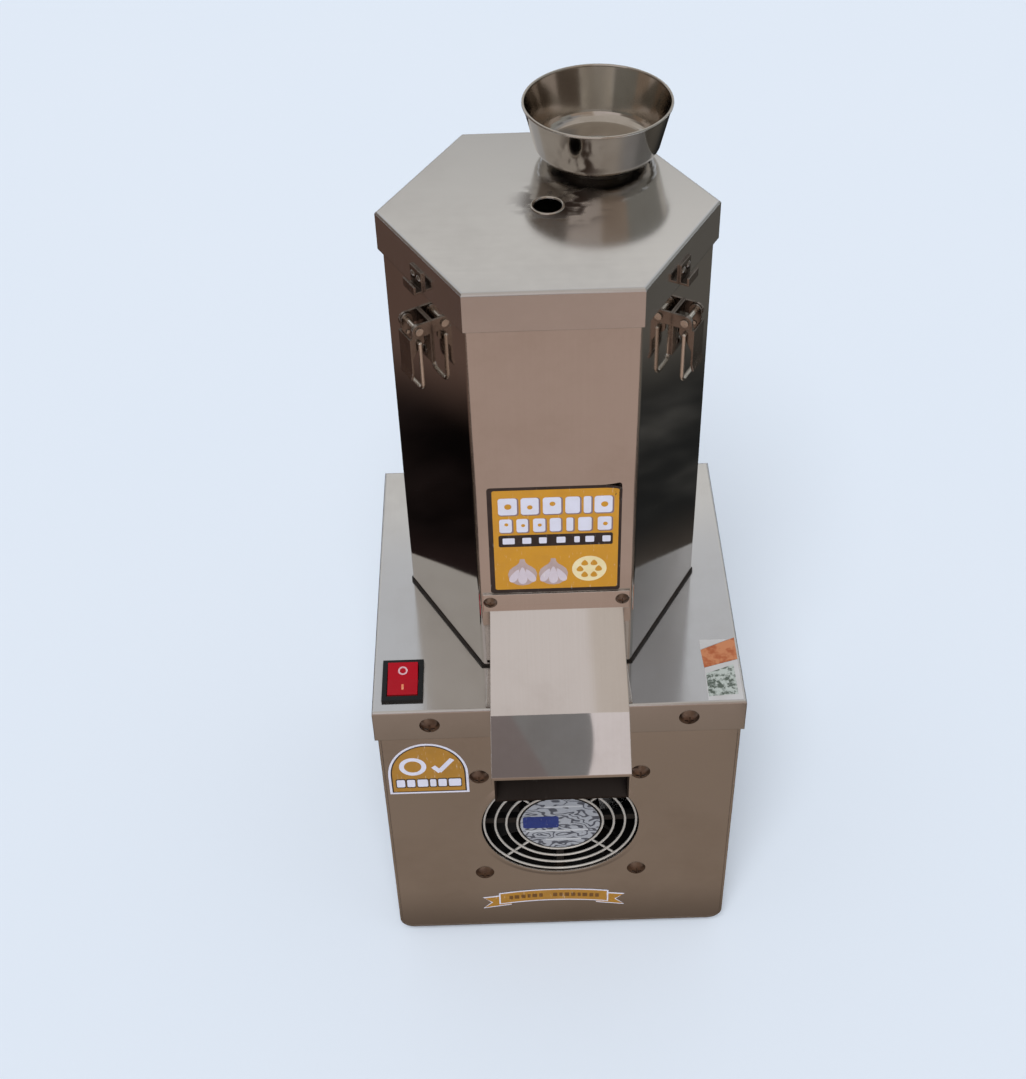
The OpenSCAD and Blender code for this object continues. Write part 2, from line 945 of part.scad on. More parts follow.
// One cambered blade: a strip of a thin pipe that lies along the radius
module fan_blade() {
    span = cup_end - cup_start;
    chord = (span - blade_trim) / sin(blade_pitch);
    sag = chord * chord / (8 * blade_camber);
    tip_r = fan_r - blade_gap;
    intersection() {
        difference() {
            cylinder(r = tip_r, h = fan_depth);
            translate([0, 0, -cut])
                cylinder(r = cup_r - blade_root, h = fan_depth + 2 * cut);
        }
        translate([0, 0, (cup_start + cup_end) / 2])
            rotate([blade_pitch, 0, 0])
                intersection() {
                    translate([0, 0, sag / 2 - blade_camber])
                        rotate([0, 90, 0])
                            difference() {
                                cylinder(r = blade_camber + blade_t / 2, h = tip_r + cut);
                                translate([0, 0, -cut])
                                    cylinder(r = blade_camber - blade_t / 2, h = tip_r + 3 * cut);
                            }
                    translate([0, -chord / 2, -chord / 2])
                        cube([tip_r + cut, chord, chord]);
                }
    }
}

module fan_impeller() {
    color(rubber)
        at_fan() {
            translate([0, 0, cup_start])
                cylinder(r = cup_r, h = cup_end - cup_start);
            translate([0, 0, fan_hub_depth / 2 + hole_gap])
                cylinder(r = fan_shaft_r, h = cup_start - fan_hub_depth / 2);
            for (i = [0 : blade_count - 1])
                rotate(360 / blade_count * i)
                    fan_blade();
        }
}

module fan_guard() {
    corner_r = fan_pitch / sqrt(2);
    color(steel)
        at_fan() {
            for (i = [0 : guard_rings - 1])
                translate([0, 0, ring_z])
                    rotate_extrude()
                        translate([guard_out_r - i * guard_pitch, 0])
                            circle(r = guard_r);
            for (i = [0 : 3])
                rotate(45 + 90 * i)
                    translate([0, 0, spoke_z]) {
                        translate([guard_in_r - guard_r, 0, 0])
                            rotate([0, 90, 0])
                                cylinder(r = guard_r, h = corner_r - guard_eye_r - guard_in_r + guard_r);
                        translate([corner_r, 0, 0])
                            rotate_extrude()
                                translate([guard_eye_r, 0])
                                    circle(r = guard_r);
                    }
        }
}

module fan_screws() {
    color(dark_steel)
        at_fan_screws()
            translate([0, 0, -panel_front])
                rotate([180, 0, 0])
                    dome_screw(screw_head_d / 2, screw_head_h, screw_r, fan_screw_len);
}

module fan_nuts() {
    color(dark_steel)
        at_fan_screws()
            translate([0, 0, fan_flange])
                hex_nut(fan_nut_r, screw_hole, fan_nut_h);
}

// Motor and its mounting

module mount_plate() {
    color(dark_steel)
        difference() {
            on_tower()
                translate([0, 0, box_top - mount_t])
                    linear_extrude(mount_t)
                        soft_square(mount_side, post_d / 2);
            on_tower()
                translate([0, 0, box_top - mount_t - cut])
                    cylinder(r = boss_r + hole_gap, h = mount_t + 2 * cut);
            at_posts()
                translate([0, 0, box_top - mount_t - cut])
                    cylinder(r = post_stud_r + hole_gap, h = mount_t + 2 * cut);
            at_housing_bolts()
                translate([0, 0, box_top - mount_t - cut])
                    cylinder(r = screw_hole, h = mount_t + 2 * cut);
        }
}

module motor_posts() {
    stud = motor_flange_t + nut_h + stud_tip;
    color(steel)
        at_posts() {
            translate([0, 0, motor_top])
                cylinder(r = post_d / 2, h = post_len);
            translate([0, 0, motor_top - stud])
                cylinder(r = post_stud_r, h = stud + post_len + mount_t);
        }
}

module motor_nuts() {
    color(steel)
        at_posts()
            translate([0, 0, motor_top - motor_flange_t - nut_h])
                hex_nut(2 * post_stud_r, post_stud_r + hole_gap, nut_h);
}

module shaft_bore() {
    on_tower()
        translate([0, 0, motor_top - shaft_socket])
            cylinder(r = shaft_r + run_gap, h = shaft_socket + motor_boss_h + cut);
}

module motor_housing() {
    color("slategray")
        difference() {
            on_tower()
                translate([0, 0, motor_body_low]) {
                    cylinder(r = motor_d / 2 - fin_h, h = motor_len);
                    for (i = [0 : fin_count - 1])
                        rotate(360 / fin_count * i)
                            translate([motor_d / 2 - fin_h - cut, -fin_w / 2, 0])
                                cube([fin_h + cut, fin_w, motor_len]);
                }
            shaft_bore();
        }
}

module motor_top_bell() {
    color("slategray")
        difference() {
            on_tower() {
                translate([0, 0, motor_body_top])
                    cylinder(r = bell_r, h = bell_h + motor_flange_t);
                translate([0, 0, motor_top - motor_flange_t])
                    linear_extrude(motor_flange_t)
                        intersection() {
                            square(2 * post_x + post_d, center = true);
                            circle(r = motor_flange_r);
                        }
                translate([0, 0, motor_top])
                    cylinder(r = motor_boss_r, h = motor_boss_h);
            }
            shaft_bore();
            at_posts()
                translate([0, 0, motor_top - motor_flange_t - nut_h - cut])
                    cylinder(r = post_stud_r + hole_gap, h = motor_flange_t + nut_h + 2 * cut);
        }
}

module motor_bottom_bell() {
    color("slategray")
        on_tower()
            translate([0, 0, motor_body_low - bell_h])
                rotate_extrude()
                    polygon([[0, 0], [bell_r / 2, 0], [bell_r, bell_h / 2], [bell_r, bell_h], [0, bell_h]]);
}

module run_capacitor() {
    color("whitesmoke")
        translate([cap_x, cap_y, foot_h + box_sheet]) {
            cylinder(r = cap_r, h = cap_h);
            for (side = [-1, 1])
                translate([side * cap_r / 2 - terminal_w / 2, -terminal_t / 2, cap_h - cut])
                    cube([terminal_w, terminal_t, terminal_h + cut]);
        }
}

module capacitor_clip() {
    color(dark_steel)
        translate([cap_x, cap_y, foot_h + box_sheet]) {
            translate([0, 0, clip_h])
                pipe(cap_r + hole_gap + clip_t, cap_r + hole_gap, clip_h);
            translate([cap_r + hole_gap, -clip_h / 2, 0]) {
                cube([clip_t, clip_h, clip_h + clip_lap]);
                cube([clip_tab, clip_h, clip_t]);
            }
        }
}

// Rocker switch

module at_switch() {
    translate([switch_cx, switch_cy, base_top])
        children();
}

module switch_housing() {
    window_w = rocker_w + 2 * rocker_gap;
    window_l = rocker_l + 2 * (rocker_gap + rocker_swing);
    color(rubber)
        at_switch()
            difference() {
                union() {
                    translate([-bezel_w / 2, -bezel_l / 2, 0])
                        cube([bezel_w, bezel_l, bezel_h]);
                    translate([-switch_body_w / 2, -switch_body_l / 2, -switch_depth])
                        cube([switch_body_w, switch_body_l, switch_depth]);
                }
                translate([-window_w / 2, -window_l / 2, switch_floor - switch_depth])
                    cube([window_w, window_l, switch_depth + bezel_h]);
                translate([-window_w / 2 - rocker_pin_len, 0, bezel_h - rocker_pivot_drop])
                    rotate([0, 90, 0])
                        cylinder(r = rocker_pin_r + run_gap, h = window_w + 2 * rocker_pin_len);
            }
}

// The rocker's front half is pressed: it lies level with the bezel and the rear half stands up
module switch_rocker() {
    half = rocker_l / 2;
    pin_out = rocker_gap + rocker_pin_len - hole_gap;
    color("firebrick")
        at_switch()
            translate([0, 0, bezel_h - rocker_pivot_drop]) {
                along_x(-rocker_w / 2, rocker_w / 2)
                    polygon([
                        [-half, rocker_pivot_drop], [0, rocker_pivot_drop],
                        [half * cos(rocker_tilt), rocker_pivot_drop + half * sin(rocker_tilt)],
                        [half, rocker_pivot_drop - rocker_rear_lip], [rocker_neck / 2, -rocker_depth],
                        [-rocker_neck / 2, -rocker_depth], [-half, rocker_pivot_drop - rocker_front_lip]
                    ]);
                translate([-rocker_w / 2 - pin_out, 0, 0])
                    rotate([0, 90, 0])
                        cylinder(r = rocker_pin_r, h = rocker_w + 2 * pin_out);
            }
}

// Spindle

module bearing_housing() {
    color("slategray")
        difference() {
            on_tower()
                translate([0, 0, housing_low]) {
                    cylinder(r = housing_flange_r, h = housing_flange_t);
                    cylinder(r = boss_r, h = housing_top - housing_low);
                }
            on_tower() {
                translate([0, 0, housing_low - cut])
                    cylinder(r = bearing_r + run_gap, h = pocket_top - housing_low + cut);
                translate([0, 0, housing_low])
                    cylinder(r = shaft_collar_r, h = housing_top - housing_low + cut);
            }
            at_housing_bolts()
                translate([0, 0, housing_low - cut])
                    cylinder(r = screw_hole, h = housing_flange_t + 2 * cut);
        }
}

module shaft_bearing() {
    color("gainsboro")
        on_tower()
            translate([0, 0, pocket_top - bearing_w])
                pipe(bearing_r, shaft_r + run_gap, bearing_w);
}

module bearing_bolts() {
    color(dark_steel)
        at_housing_bolts()
            translate([0, 0, housing_low])
                rotate([180, 0, 0])
                    hex_bolt(screw_d, housing_head_h, screw_r, housing_flange_t + mount_t);
}

module shaft_seal() {
    color(rubber)
        on_tower()
            translate([0, 0, floor_low])
                pipe(seal_r, shaft_r + hole_gap, floor_t + seal_rise);
}

module motor_shaft() {
    color("lightgray")
        on_tower()
            translate([0, 0, motor_top - shaft_socket + cut])
                cylinder(r = shaft_r, h = coupling_mid - motor_top + shaft_socket - cut - shaft_joint);
}

module shaft_coupling() {
    color(dark_steel)
        on_tower()
            translate([0, 0, coupling_low])
                pipe(coupling_r, shaft_r + run_gap, coupling_top - coupling_low);
}

module spindle_shaft() {
    color("lightgray")
        on_tower() {
            translate([0, 0, coupling_mid])
                cylinder(r = shaft_r, h = rotor_top + rotor_nut_h + shaft_tip - coupling_mid);
            translate([0, 0, rotor_low - shaft_collar_h])
                cylinder(r = shaft_collar_r, h = shaft_collar_h);
        }
}

// Places of the rubber fingers, pointing out of the core along local z
module at_fingers() {
    on_tower()
        for (tier = [0 : finger_tiers - 1], i = [0 : finger_row - 1])
            translate([0, 0, rotor_low + finger_margin + tier * finger_pitch])
                rotate([0, 90, finger_twist * tier + 360 / finger_row * i])
                    children();
}

module rotor_core() {
    color("gainsboro")
        difference() {
            on_tower()
                translate([0, 0, rotor_low])
                    pipe(rotor_r, shaft_r + run_gap, rotor_len);
            at_fingers()
                translate([0, 0, finger_root])
                    cylinder(r = finger_r + run_gap, h = rotor_r);
        }
}

module rubber_fingers() {
    color("#3a3a3a")
        at_fingers() {
            translate([0, 0, finger_root])
                cylinder(r = finger_r, h = finger_tip - finger_r - finger_root);
            translate([0, 0, finger_tip - finger_r])
                sphere(r = finger_r);
        }
}

module rotor_nut() {
    color(steel)
        on_tower()
            translate([0, 0, rotor_top])
                hex_nut(rotor_nut_r, shaft_r + run_gap, rotor_nut_h);
}

// Tower and chamber

module tower_shell() {
    color(steel)
        difference() {
            on_tower() {
                translate([0, 0, tower_low])
                    linear_extrude(lid_seat - lid_rest - tower_low)
                        difference() {
                            hex_2d(tower_flat, tower_bend);
                            hex_2d(tower_in, tower_bend - tower_sheet);
                        }
                translate([0, 0, tower_low])
                    linear_extrude(tower_sheet)
                        difference() {
                            hex_2d(tower_flat, tower_bend);
                            hex_2d(tower_in - tower_flange, tower_bend);
                        }
            }
            translate([-outlet_w / 2, tower_face_y - cut, floor_top])
                cube([outlet_w, tower_sheet + 2 * cut, outlet_h]);
            at_tower_bolts()
                translate([0, 0, tower_low - cut])
                    cylinder(r = screw_hole, h = tower_sheet + 2 * cut);
            at_chute_screws()
                translate([0, 0, -screw_reach])
                    cylinder(r = screw_hole, h = screw_reach + cut);
            at_latch_rivets()
                translate([0, 0, -screw_reach])
                    cylinder(r = rivet_r + hole_gap, h = screw_reach + cut);
        }
}

module tower_gasket() {
    color(rubber)
        difference() {
            on_tower()
                translate([0, 0, base_top])
                    linear_extrude(gasket_t)
                        difference() {
                            hex_2d(tower_flat + gasket_proud, tower_bend);
                            hex_2d(tower_in - tower_flange, tower_bend);
                        }
            at_tower_bolts()
                translate([0, 0, base_top - cut])
                    cylinder(r = screw_hole, h = gasket_t + 2 * cut);
            translate([-base_w / 2, mouth_y, base_top - cut])
                cube([base_w, tower_face_y - mouth_y, gasket_t + 2 * cut]);
        }
}

module tower_bolts() {
    color(dark_steel)
        at_tower_bolts()
            translate([0, 0, floor_top])
                hex_bolt(tower_bolt_head_r, tower_bolt_head_h, screw_r, tower_bolt_len);
}

module tower_nuts() {
    color(dark_steel)
        at_tower_bolts()
            translate([0, 0, box_top - nut_h])
                hex_nut(tower_bolt_head_r, screw_hole, nut_h);
}

module chamber_floor() {
    color("lightgray")
        difference() {
            on_tower()
                translate([0, 0, floor_low])
                    linear_extrude(floor_t)
                        hex_2d(tower_in - floor_gap, tower_bend);
            on_tower()
                translate([0, 0, floor_low - cut])
                    cylinder(r = seal_r + hole_gap, h = floor_t + 2 * cut);
            at_tower_bolts()
                translate([0, 0, floor_low - cut])
                    cylinder(r = screw_hole, h = floor_t + 2 * cut);
        }
}

module chamber_drum() {
    color("lightgray")
        difference() {
            on_tower()
                translate([0, 0, floor_top])
                    pipe(drum_out_r, drum_r, drum_top - floor_top);
            translate([-outlet_w / 2, tower_face_y, floor_top - cut])
                cube([outlet_w, drum_r, outlet_h + cut]);
        }
}

// Chute

// Plan of the chute, drawn in by the given distance and passing both ends by the excess
module chute_plan(inset, excess = 0) {
    half_back = chute_w / 2 - inset - excess * chute_flare;
    half_front = chute_mouth_w / 2 - inset + excess * chute_flare;
    polygon([
        [-half_back, tower_face_y + excess], [half_back, tower_face_y + excess],
        [half_front, mouth_y - excess], [-half_front, mouth_y - excess]
    ]);
}

// Side view of the space below the cover's top face lowered by the given amounts, down to a floor line
module chute_side(upper_drop, lower_drop, floor_drop, excess = 0) {
    shift = (upper_drop - lower_drop) / (upper_slope - lower_slope);
    polygon([
        [mouth_y - excess, mouth_low_z - floor_drop - excess * tray_slope],
        [tower_face_y + excess, tray_start - floor_drop + excess * tray_slope],
        [tower_face_y + excess, chute_top_z - upper_drop + excess * upper_slope],
        [crease_y + shift, crease_z + shift * upper_slope - upper_drop],
        [mouth_y - excess, mouth_top_z - lower_drop - excess * lower_slope]
    ]);
}

module in_plan() {
    linear_extrude(chute_top_z + chute_rise)
        children();
}

module across() {
    along_x(-base_w / 2, base_w / 2)
        children();
}

// Way of the chute through the base cover and the front panel, its floor lowered by the given amount
module chute_notch(lowered = notch_gap) {
    difference() {
        intersection() {
            in_plan()
                chute_plan(tray_side - notch_gap);
            across()
                chute_side(0, 0, floor_drop + lowered);
        }
        translate([-base_w / 2, notch_back_y, 0])
            cube([base_w, base_d, chute_top_z]);
    }
}

module chute_tray() {
    color(steel) {
        difference() {
            intersection() {
                in_plan()
                    chute_plan(tray_side);
                across()
                    chute_side(upper_drop, lower_drop, floor_drop);
            }
            intersection() {
                in_plan()
                    chute_plan(tray_side + chute_sheet, cut);
                across()
                    chute_side(-chute_rise, -chute_rise, 0, cut);
            }
        }
        translate([0, 0, base_top])
            linear_extrude(chute_sheet)
                intersection() {
                    difference() {
                        chute_plan(tray_side - tray_flange);
                        chute_plan(tray_side + chute_sheet / 2, cut);
                    }
                    translate([-base_w / 2, skirt_front_y + cover_bend])
                        square([base_w, notch_back_y - skirt_front_y - cover_bend]);
                }
    }
}

module chute_cover() {
    color(steel)
        difference() {
            union() {
                intersection() {
                    in_plan()
                        chute_plan(0);
                    difference() {
                        across()
                            chute_side(0, 0, 0);
                        across()
                            chute_side(upper_drop, lower_drop, mouth_h + cut, cut);
                    }
                }
                intersection() {
                    in_plan()
                        difference() {
                            chute_plan(0);
                            chute_plan(chute_sheet, cut);
                        }
                    difference() {
                        across()
                            chute_side(0, 0, 0);
                        across()
                            chute_side(chute_lip, chute_lip, mouth_h + cut, cut);
                    }
                }
                translate([-chute_flange_w / 2, tower_face_y - chute_sheet, chute_top_z - upper_drop])
                    cube([chute_flange_w, chute_sheet, chute_flange + upper_drop]);
            }
            at_chute_screws()
                translate([0, 0, -screw_reach])
                    cylinder(r = screw_hole, h = screw_reach + cut);
        }
}

module at_chute_screws() {
    for (side = [-1, 1])
        translate([side * chute_screw_x, tower_face_y - chute_sheet, chute_screw_z])
            rotate([90, 0, 0])
                children();
}

module chute_screws() {
    color(dark_steel)
        at_chute_screws()
            dome_screw(chute_head_r, chute_head_h, screw_r, screw_reach);
}

// Lid and feed

module lid_cap() {
    color(steel)
        difference() {
            on_tower()
                difference() {
                    hex_cap(lid_flat, lid_low, lid_top, lid_bend);
                    hex_cap(lid_in, lid_low - cut, lid_seat, lid_bend - lid_sheet);
                }
            on_tower()
                translate([0, 0, lid_seat - cut])
                    cylinder(r = eyelet_bore / 2, h = lid_sheet + 2 * cut);
            at_feed()
                translate([0, 0, lid_seat - cut])
                    cylinder(r = throat_r + hole_gap, h = lid_sheet + 2 * cut);
            at_keeper_rivets()
                translate([0, 0, -lid_sheet - cut])
                    cylinder(r = rivet_r + hole_gap, h = lid_sheet + 2 * cut);
        }
}

module lid_eyelet() {
    color("gainsboro")
        on_tower()
            translate([0, 0, lid_top])
                rotate_extrude()
                    intersection() {
                        translate([eyelet_bore / 2 + eyelet_t, 0])
                            circle(r = eyelet_t);
                        square([eyelet_bore + 2 * eyelet_t, eyelet_t]);
                    }
}

// Half section of the bowl's skin at a distance inside its outer face, from the middle out to the rim
function bowl_edge(inset) = concat(
    [[0, inset]],
    [for (i = [0 : bowl_steps])
        let (a = -90 + (90 - bowl_lean) * i / bowl_steps)
            [bowl_bottom_r, bowl_corner] + (bowl_corner - inset) * [cos(a), sin(a)]],
    [[bowl_r - inset, bowl_h]]
);

module feed_bowl() {
    outside = bowl_edge(0);
    inside = bowl_edge(bowl_sheet);
    color(steel)
        at_feed()
            translate([0, 0, bowl_low])
                difference() {
                    rotate_extrude() {
                        polygon(concat(outside, [for (i = [len(inside) - 1 : -1 : 0]) inside[i]]));
                        translate([bowl_r - bowl_sheet / 2, bowl_h - bowl_bead])
                            circle(r = bowl_bead);
                    }
                    translate([0, 0, -cut])
                        cylinder(r = throat_r + hole_gap, h = bowl_sheet + 2 * cut);
                }
}

module feed_throat() {
    color("lightgray")
        at_feed() {
            translate([0, 0, lid_seat - throat_drop])
                pipe(throat_r, throat_r - throat_wall, bowl_low + bowl_sheet - lid_seat + throat_drop);
            translate([0, 0, lid_top])
                pipe(collar_r, throat_r - throat_wall / 2, collar_h);
        }
}

// Latches

module latch_base(angle) {
    color(steel)
        difference() {
            on_face(angle, tower_flat) {
                translate([0, -latch_out, latch_z - latch_plate_down])
                    cube([latch_sheet, 2 * latch_out, latch_plate_down + latch_plate_up]);
                for (side = [-1, 1])
                    translate([0, side * (latch_in + latch_sheet / 2), latch_z])
                        rotate([90, 0, 0])
                            translate([0, 0, -latch_sheet / 2])
                                linear_extrude(latch_sheet) {
                                    translate([0, -ear_r])
                                        square([latch_pin_out, 2 * ear_r]);
                                    translate([latch_pin_out, 0])
                                        circle(r = ear_r);
                                }
            }
            on_face(angle, tower_flat)
                translate([latch_pin_out, -latch_out - cut, latch_z])
                    rotate([-90, 0, 0])
                        cylinder(r = pin_r + run_gap, h = 2 * (latch_out + cut));
            at_latch_rivets()
                translate([0, 0, -screw_reach])
                    cylinder(r = rivet_r + hole_gap, h = screw_reach + cut);
        }
}

module latch_base_left() { latch_base(left_angle); }
module latch_base_right() { latch_base(right_angle); }

module latch_pin(angle) {
    color("lightgray")
        on_face(angle, tower_flat)
            translate([latch_pin_out, 0, latch_z])
                rotate([90, 0, 0]) {
                    cylinder(r = pin_r, h = 2 * latch_out + pin_head_h, center = true);
                    for (side = [-1, 1])
                        translate([0, 0, side * (latch_out + pin_head_h / 2)])
                            cylinder(r = pin_head_r, h = pin_head_h, center = true);
                }
}

module latch_pin_left() { latch_pin(left_angle); }
module latch_pin_right() { latch_pin(right_angle); }

// Rivets of both latch bases, pointing into the tower
module at_latch_rivets() {
    for (angle = [left_angle, right_angle], i = [0, 1])
        on_face(angle, tower_flat)
            translate([latch_sheet, 0, latch_z - latch_rivet_top - i * latch_rivet_gap])
                rotate([0, 90, 0])
                    children();
}

module latch_rivets() {
    color("lightgray")
        at_latch_rivets()
            dome_screw(rivet_head_r, rivet_head_h, rivet_r, latch_sheet + tower_sheet, false);
}

// Channel lever: two cheeks on the pin, joined by a web that runs down to a turned-out tip
module latch_lever(angle) {
    color(steel)
        difference() {
            on_face(angle, tower_flat) {
                for (side = [-1, 1])
                    translate([0, side * (lever_in + lever_out) / 2, 0])
                        rotate([90, 0, 0])
                            translate([0, 0, -latch_sheet / 2])
                                linear_extrude(latch_sheet) {
                                    translate([latch_pin_out, latch_z])
                                        circle(r = lever_r);
                                    translate([latch_pin_out, bail_z])
                                        circle(r = lever_r);
                                    translate([latch_pin_out - lever_r, bail_z])
                                        square([2 * lever_r, bail_arm]);
                                    polygon([
                                        [latch_pin_out, web_top], [web_out, web_top],
                                        [web_out, web_low + cheek_rise], [latch_pin_out, bail_z - lever_r]
                                    ]);
                                }
                translate([web_out, -lever_out, web_low])
                    cube([latch_sheet, 2 * lever_out, web_top - web_low]);
                translate([web_out, -lever_out, web_low])
                    rotate([0, -tip_turn, 0])
                        translate([0, 0, -tip_len])
                            cube([latch_sheet, 2 * lever_out, tip_len + latch_sheet / 2]);
            }
            on_face(angle, tower_flat)
                translate([latch_pin_out, -latch_out, latch_z])
                    rotate([-90, 0, 0])
                        cylinder(r = pin_r + run_gap, h = 2 * latch_out);
            on_face(angle, tower_flat)
                translate([latch_pin_out, -latch_out, bail_z])
                    rotate([-90, 0, 0])
                        cylinder(r = bail_r + run_gap, h = 2 * latch_out);
        }
}

module latch_lever_left() { latch_lever(left_angle); }
module latch_lever_right() { latch_lever(right_angle); }

// Wire loop that hangs from the lever
module latch_bail(angle) {
    leg = bail_len - bail_bend;
    color("lightgray")
        on_face(angle, tower_flat)
            translate([latch_pin_out, 0, bail_z])
                for (side = [-1, 1])
                    mirror([0, (1 - side) / 2, 0]) {
                        translate([0, bail_half, 0])
                            sphere(r = bail_r);
                        translate([0, lever_in - bail_play, 0])
                            rotate([-90, 0, 0])
                                cylinder(r = bail_r, h = bail_half - lever_in + bail_play);
                        translate([0, bail_half, -leg])
                            cylinder(r = bail_r, h = leg);
                        translate([0, bail_half - bail_bend, -leg])
                            rotate([0, 90, 0])
                                rotate_extrude(angle = 90)
                                    translate([bail_bend, 0])
                                        circle(r = bail_r);
                        translate([0, 0, -bail_len])
                            rotate([-90, 0, 0])
                                cylinder(r = bail_r, h = bail_half - bail_bend);
                    }
}

module latch_bail_left() { latch_bail(left_angle); }
module latch_bail_right() { latch_bail(right_angle); }

// Plate with an upturned hook, on the skirt of the lid
module keeper(angle) {
    color(steel)
        difference() {
            on_face(angle, lid_flat)
                translate([0, keeper_w / 2, keeper_z])
                    rotate([90, 0, 0])
                        linear_extrude(keeper_w) {
                            translate([0, -latch_sheet])
                                square([latch_sheet, keeper_up + latch_sheet]);
                            translate([0, -latch_sheet])
                                square([2 * latch_sheet + keeper_slot, latch_sheet]);
                            translate([latch_sheet + keeper_slot, -latch_sheet])
                                square([latch_sheet, keeper_lip]);
                        }
            at_keeper_rivets()
                translate([0, 0, -cut])
                    cylinder(r = rivet_r + hole_gap, h = latch_sheet + 2 * cut);
        }
}

module keeper_left() { keeper(left_angle); }
module keeper_right() { keeper(right_angle); }

// Rivets of both keepers; local z runs out of the skirt
module at_keeper_rivets() {
    for (angle = [left_angle, right_angle], side = [-1, 1])
        on_face(angle, lid_flat)
            translate([0, side * keeper_rivet_x, keeper_z + keeper_rivet_up])
                rotate([0, 90, 0])
                    children();
}

module keeper_rivets() {
    color("lightgray")
        at_keeper_rivets()
            translate([0, 0, latch_sheet])
                dome_screw(rivet_head_r, rivet_head_h, rivet_r, latch_sheet + lid_sheet, false);
}

base_wrap();
front_panel();
rear_panel();
base_top_cover();
cover_screws();
rubber_feet();
foot_screws();
cable_grommet();
fan_frame();
fan_guard();
fan_screws();
fan_nuts();
mount_plate();
motor_posts();
motor_nuts();
motor_housing();
motor_top_bell();
motor_bottom_bell();
run_capacitor();
capacitor_clip();
switch_housing();
bearing_housing();
shaft_bearing();
bearing_bolts();
shaft_seal();
tower_shell();
tower_gasket();
tower_bolts();
tower_nuts();
chamber_floor();
chamber_drum();
chute_tray();
chute_cover();
chute_screws();
latch_base_left();
latch_base_right();
latch_pin_left();
latch_pin_right();
latch_rivets();
lid_cap();
lid_eyelet();
feed_bowl();
feed_throat();
keeper_left();
keeper_right();
keeper_rivets();
motor_shaft();
shaft_coupling();
spindle_shaft();
rotor_core();
rubber_fingers();
rotor_nut();
fan_impeller();
switch_rocker();
latch_lever_left();
latch_lever_right();
latch_bail_left();
latch_bail_right();
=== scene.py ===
"""Looks of a garlic peeling machine: stainless sheet, wire, rubber, mouldings and plain prints."""
from math import cos, pi, radians, sin

import bpy
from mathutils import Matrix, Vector


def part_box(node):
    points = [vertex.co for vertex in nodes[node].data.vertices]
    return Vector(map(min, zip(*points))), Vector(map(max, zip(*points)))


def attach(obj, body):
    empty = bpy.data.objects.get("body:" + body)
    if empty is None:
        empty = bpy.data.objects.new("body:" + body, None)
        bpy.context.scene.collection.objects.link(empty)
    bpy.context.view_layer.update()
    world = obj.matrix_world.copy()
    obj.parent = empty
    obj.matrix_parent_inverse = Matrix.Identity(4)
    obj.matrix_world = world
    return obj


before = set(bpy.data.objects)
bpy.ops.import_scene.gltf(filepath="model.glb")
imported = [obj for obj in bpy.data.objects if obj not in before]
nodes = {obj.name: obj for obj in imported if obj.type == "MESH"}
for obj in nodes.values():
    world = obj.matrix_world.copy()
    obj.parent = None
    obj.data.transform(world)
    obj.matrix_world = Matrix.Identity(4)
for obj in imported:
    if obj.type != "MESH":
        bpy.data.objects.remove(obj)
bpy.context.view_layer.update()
scene = bpy.context.scene
scene.view_settings.view_transform = "Standard"
MM = 0.001

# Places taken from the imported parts
tower_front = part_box("tower_shell")[0].y
tower_axis = Vector((0, sum(corner.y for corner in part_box("rotor_core")) / 2, 0))
lid_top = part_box("lid_cap")[1].z
cover_low, cover_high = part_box("base_top_cover")
cover_front, cover_right, base_top = cover_low.y, cover_high.x, cover_high.z
panel_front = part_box("base_wrap")[0].y
fan_low, fan_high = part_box("fan_frame")
fan_middle = Vector((0, fan_low.y, (fan_low.z + fan_high.z) / 2))
rocker_low, rocker_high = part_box("switch_rocker")
rocker_middle = (rocker_low + rocker_high) / 2
rocker_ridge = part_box("switch_housing")[1].z


def tone(red, green, blue):
    """A colour written as 0 to 255 on screen, as the linear colour that a shader takes."""
    def linear(value):
        share = value / 255
        return share / 12.92 if share <= 0.04045 else ((share + 0.055) / 1.055) ** 2.4
    return linear(red), linear(green), linear(blue), 1.0


# Shader helpers

def add(tree, kind, inputs=None, **settings):
    """Adds a shader node; each input is a plain value or the socket that feeds it."""
    node = tree.nodes.new("ShaderNode" + kind)
    for key, value in settings.items():
        setattr(node, key, value)
    for key, value in (inputs or {}).items():
        if isinstance(value, bpy.types.NodeSocket):
            tree.links.new(value, node.inputs[key])
        else:
            node.inputs[key].default_value = value
    return node


def calc(tree, operation, a, b=0.0, c=0.0):
    return add(tree, "Math", {0: a, 1: b, 2: c}, operation=operation).outputs[0]


def weak(tree, mask, share):
    """A mask brought down to a share of its strength."""
    return calc(tree, "MULTIPLY", mask, share)


def ramp(tree, value, low, high, start=0.0, end=1.0):
    """Eases a value from start to end while it runs from low to high."""
    limits = {"Value": value, "From Min": low, "From Max": high, "To Min": start, "To Max": end}
    return add(tree, "MapRange", limits, interpolation_type="SMOOTHSTEP").outputs["Result"]


def mix(tree, share, a, b):
    return add(tree, "Mix", {0: share, 6: a, 7: b}, data_type="RGBA").outputs[2]


def noise(tree, where, scale, detail=3.0, roughness=0.5):
    inputs = {"Vector": where, "Scale": scale, "Detail": detail, "Roughness": roughness}
    return add(tree, "TexNoise", inputs).outputs["Fac"]


def local(tree):
    return add(tree, "TexCoord").outputs["Object"]


def axis(tree, where, letter):
    """One coordinate of a place."""
    return add(tree, "SeparateXYZ", {0: where}).outputs[letter]


def stretched(tree, where, stretch):
    return add(tree, "VectorMath", {0: where, 1: stretch}, operation="MULTIPLY").outputs["Vector"]


def distance_from(tree, where, point):
    return add(tree, "VectorMath", {0: where, 1: point}, operation="DISTANCE").outputs["Value"]


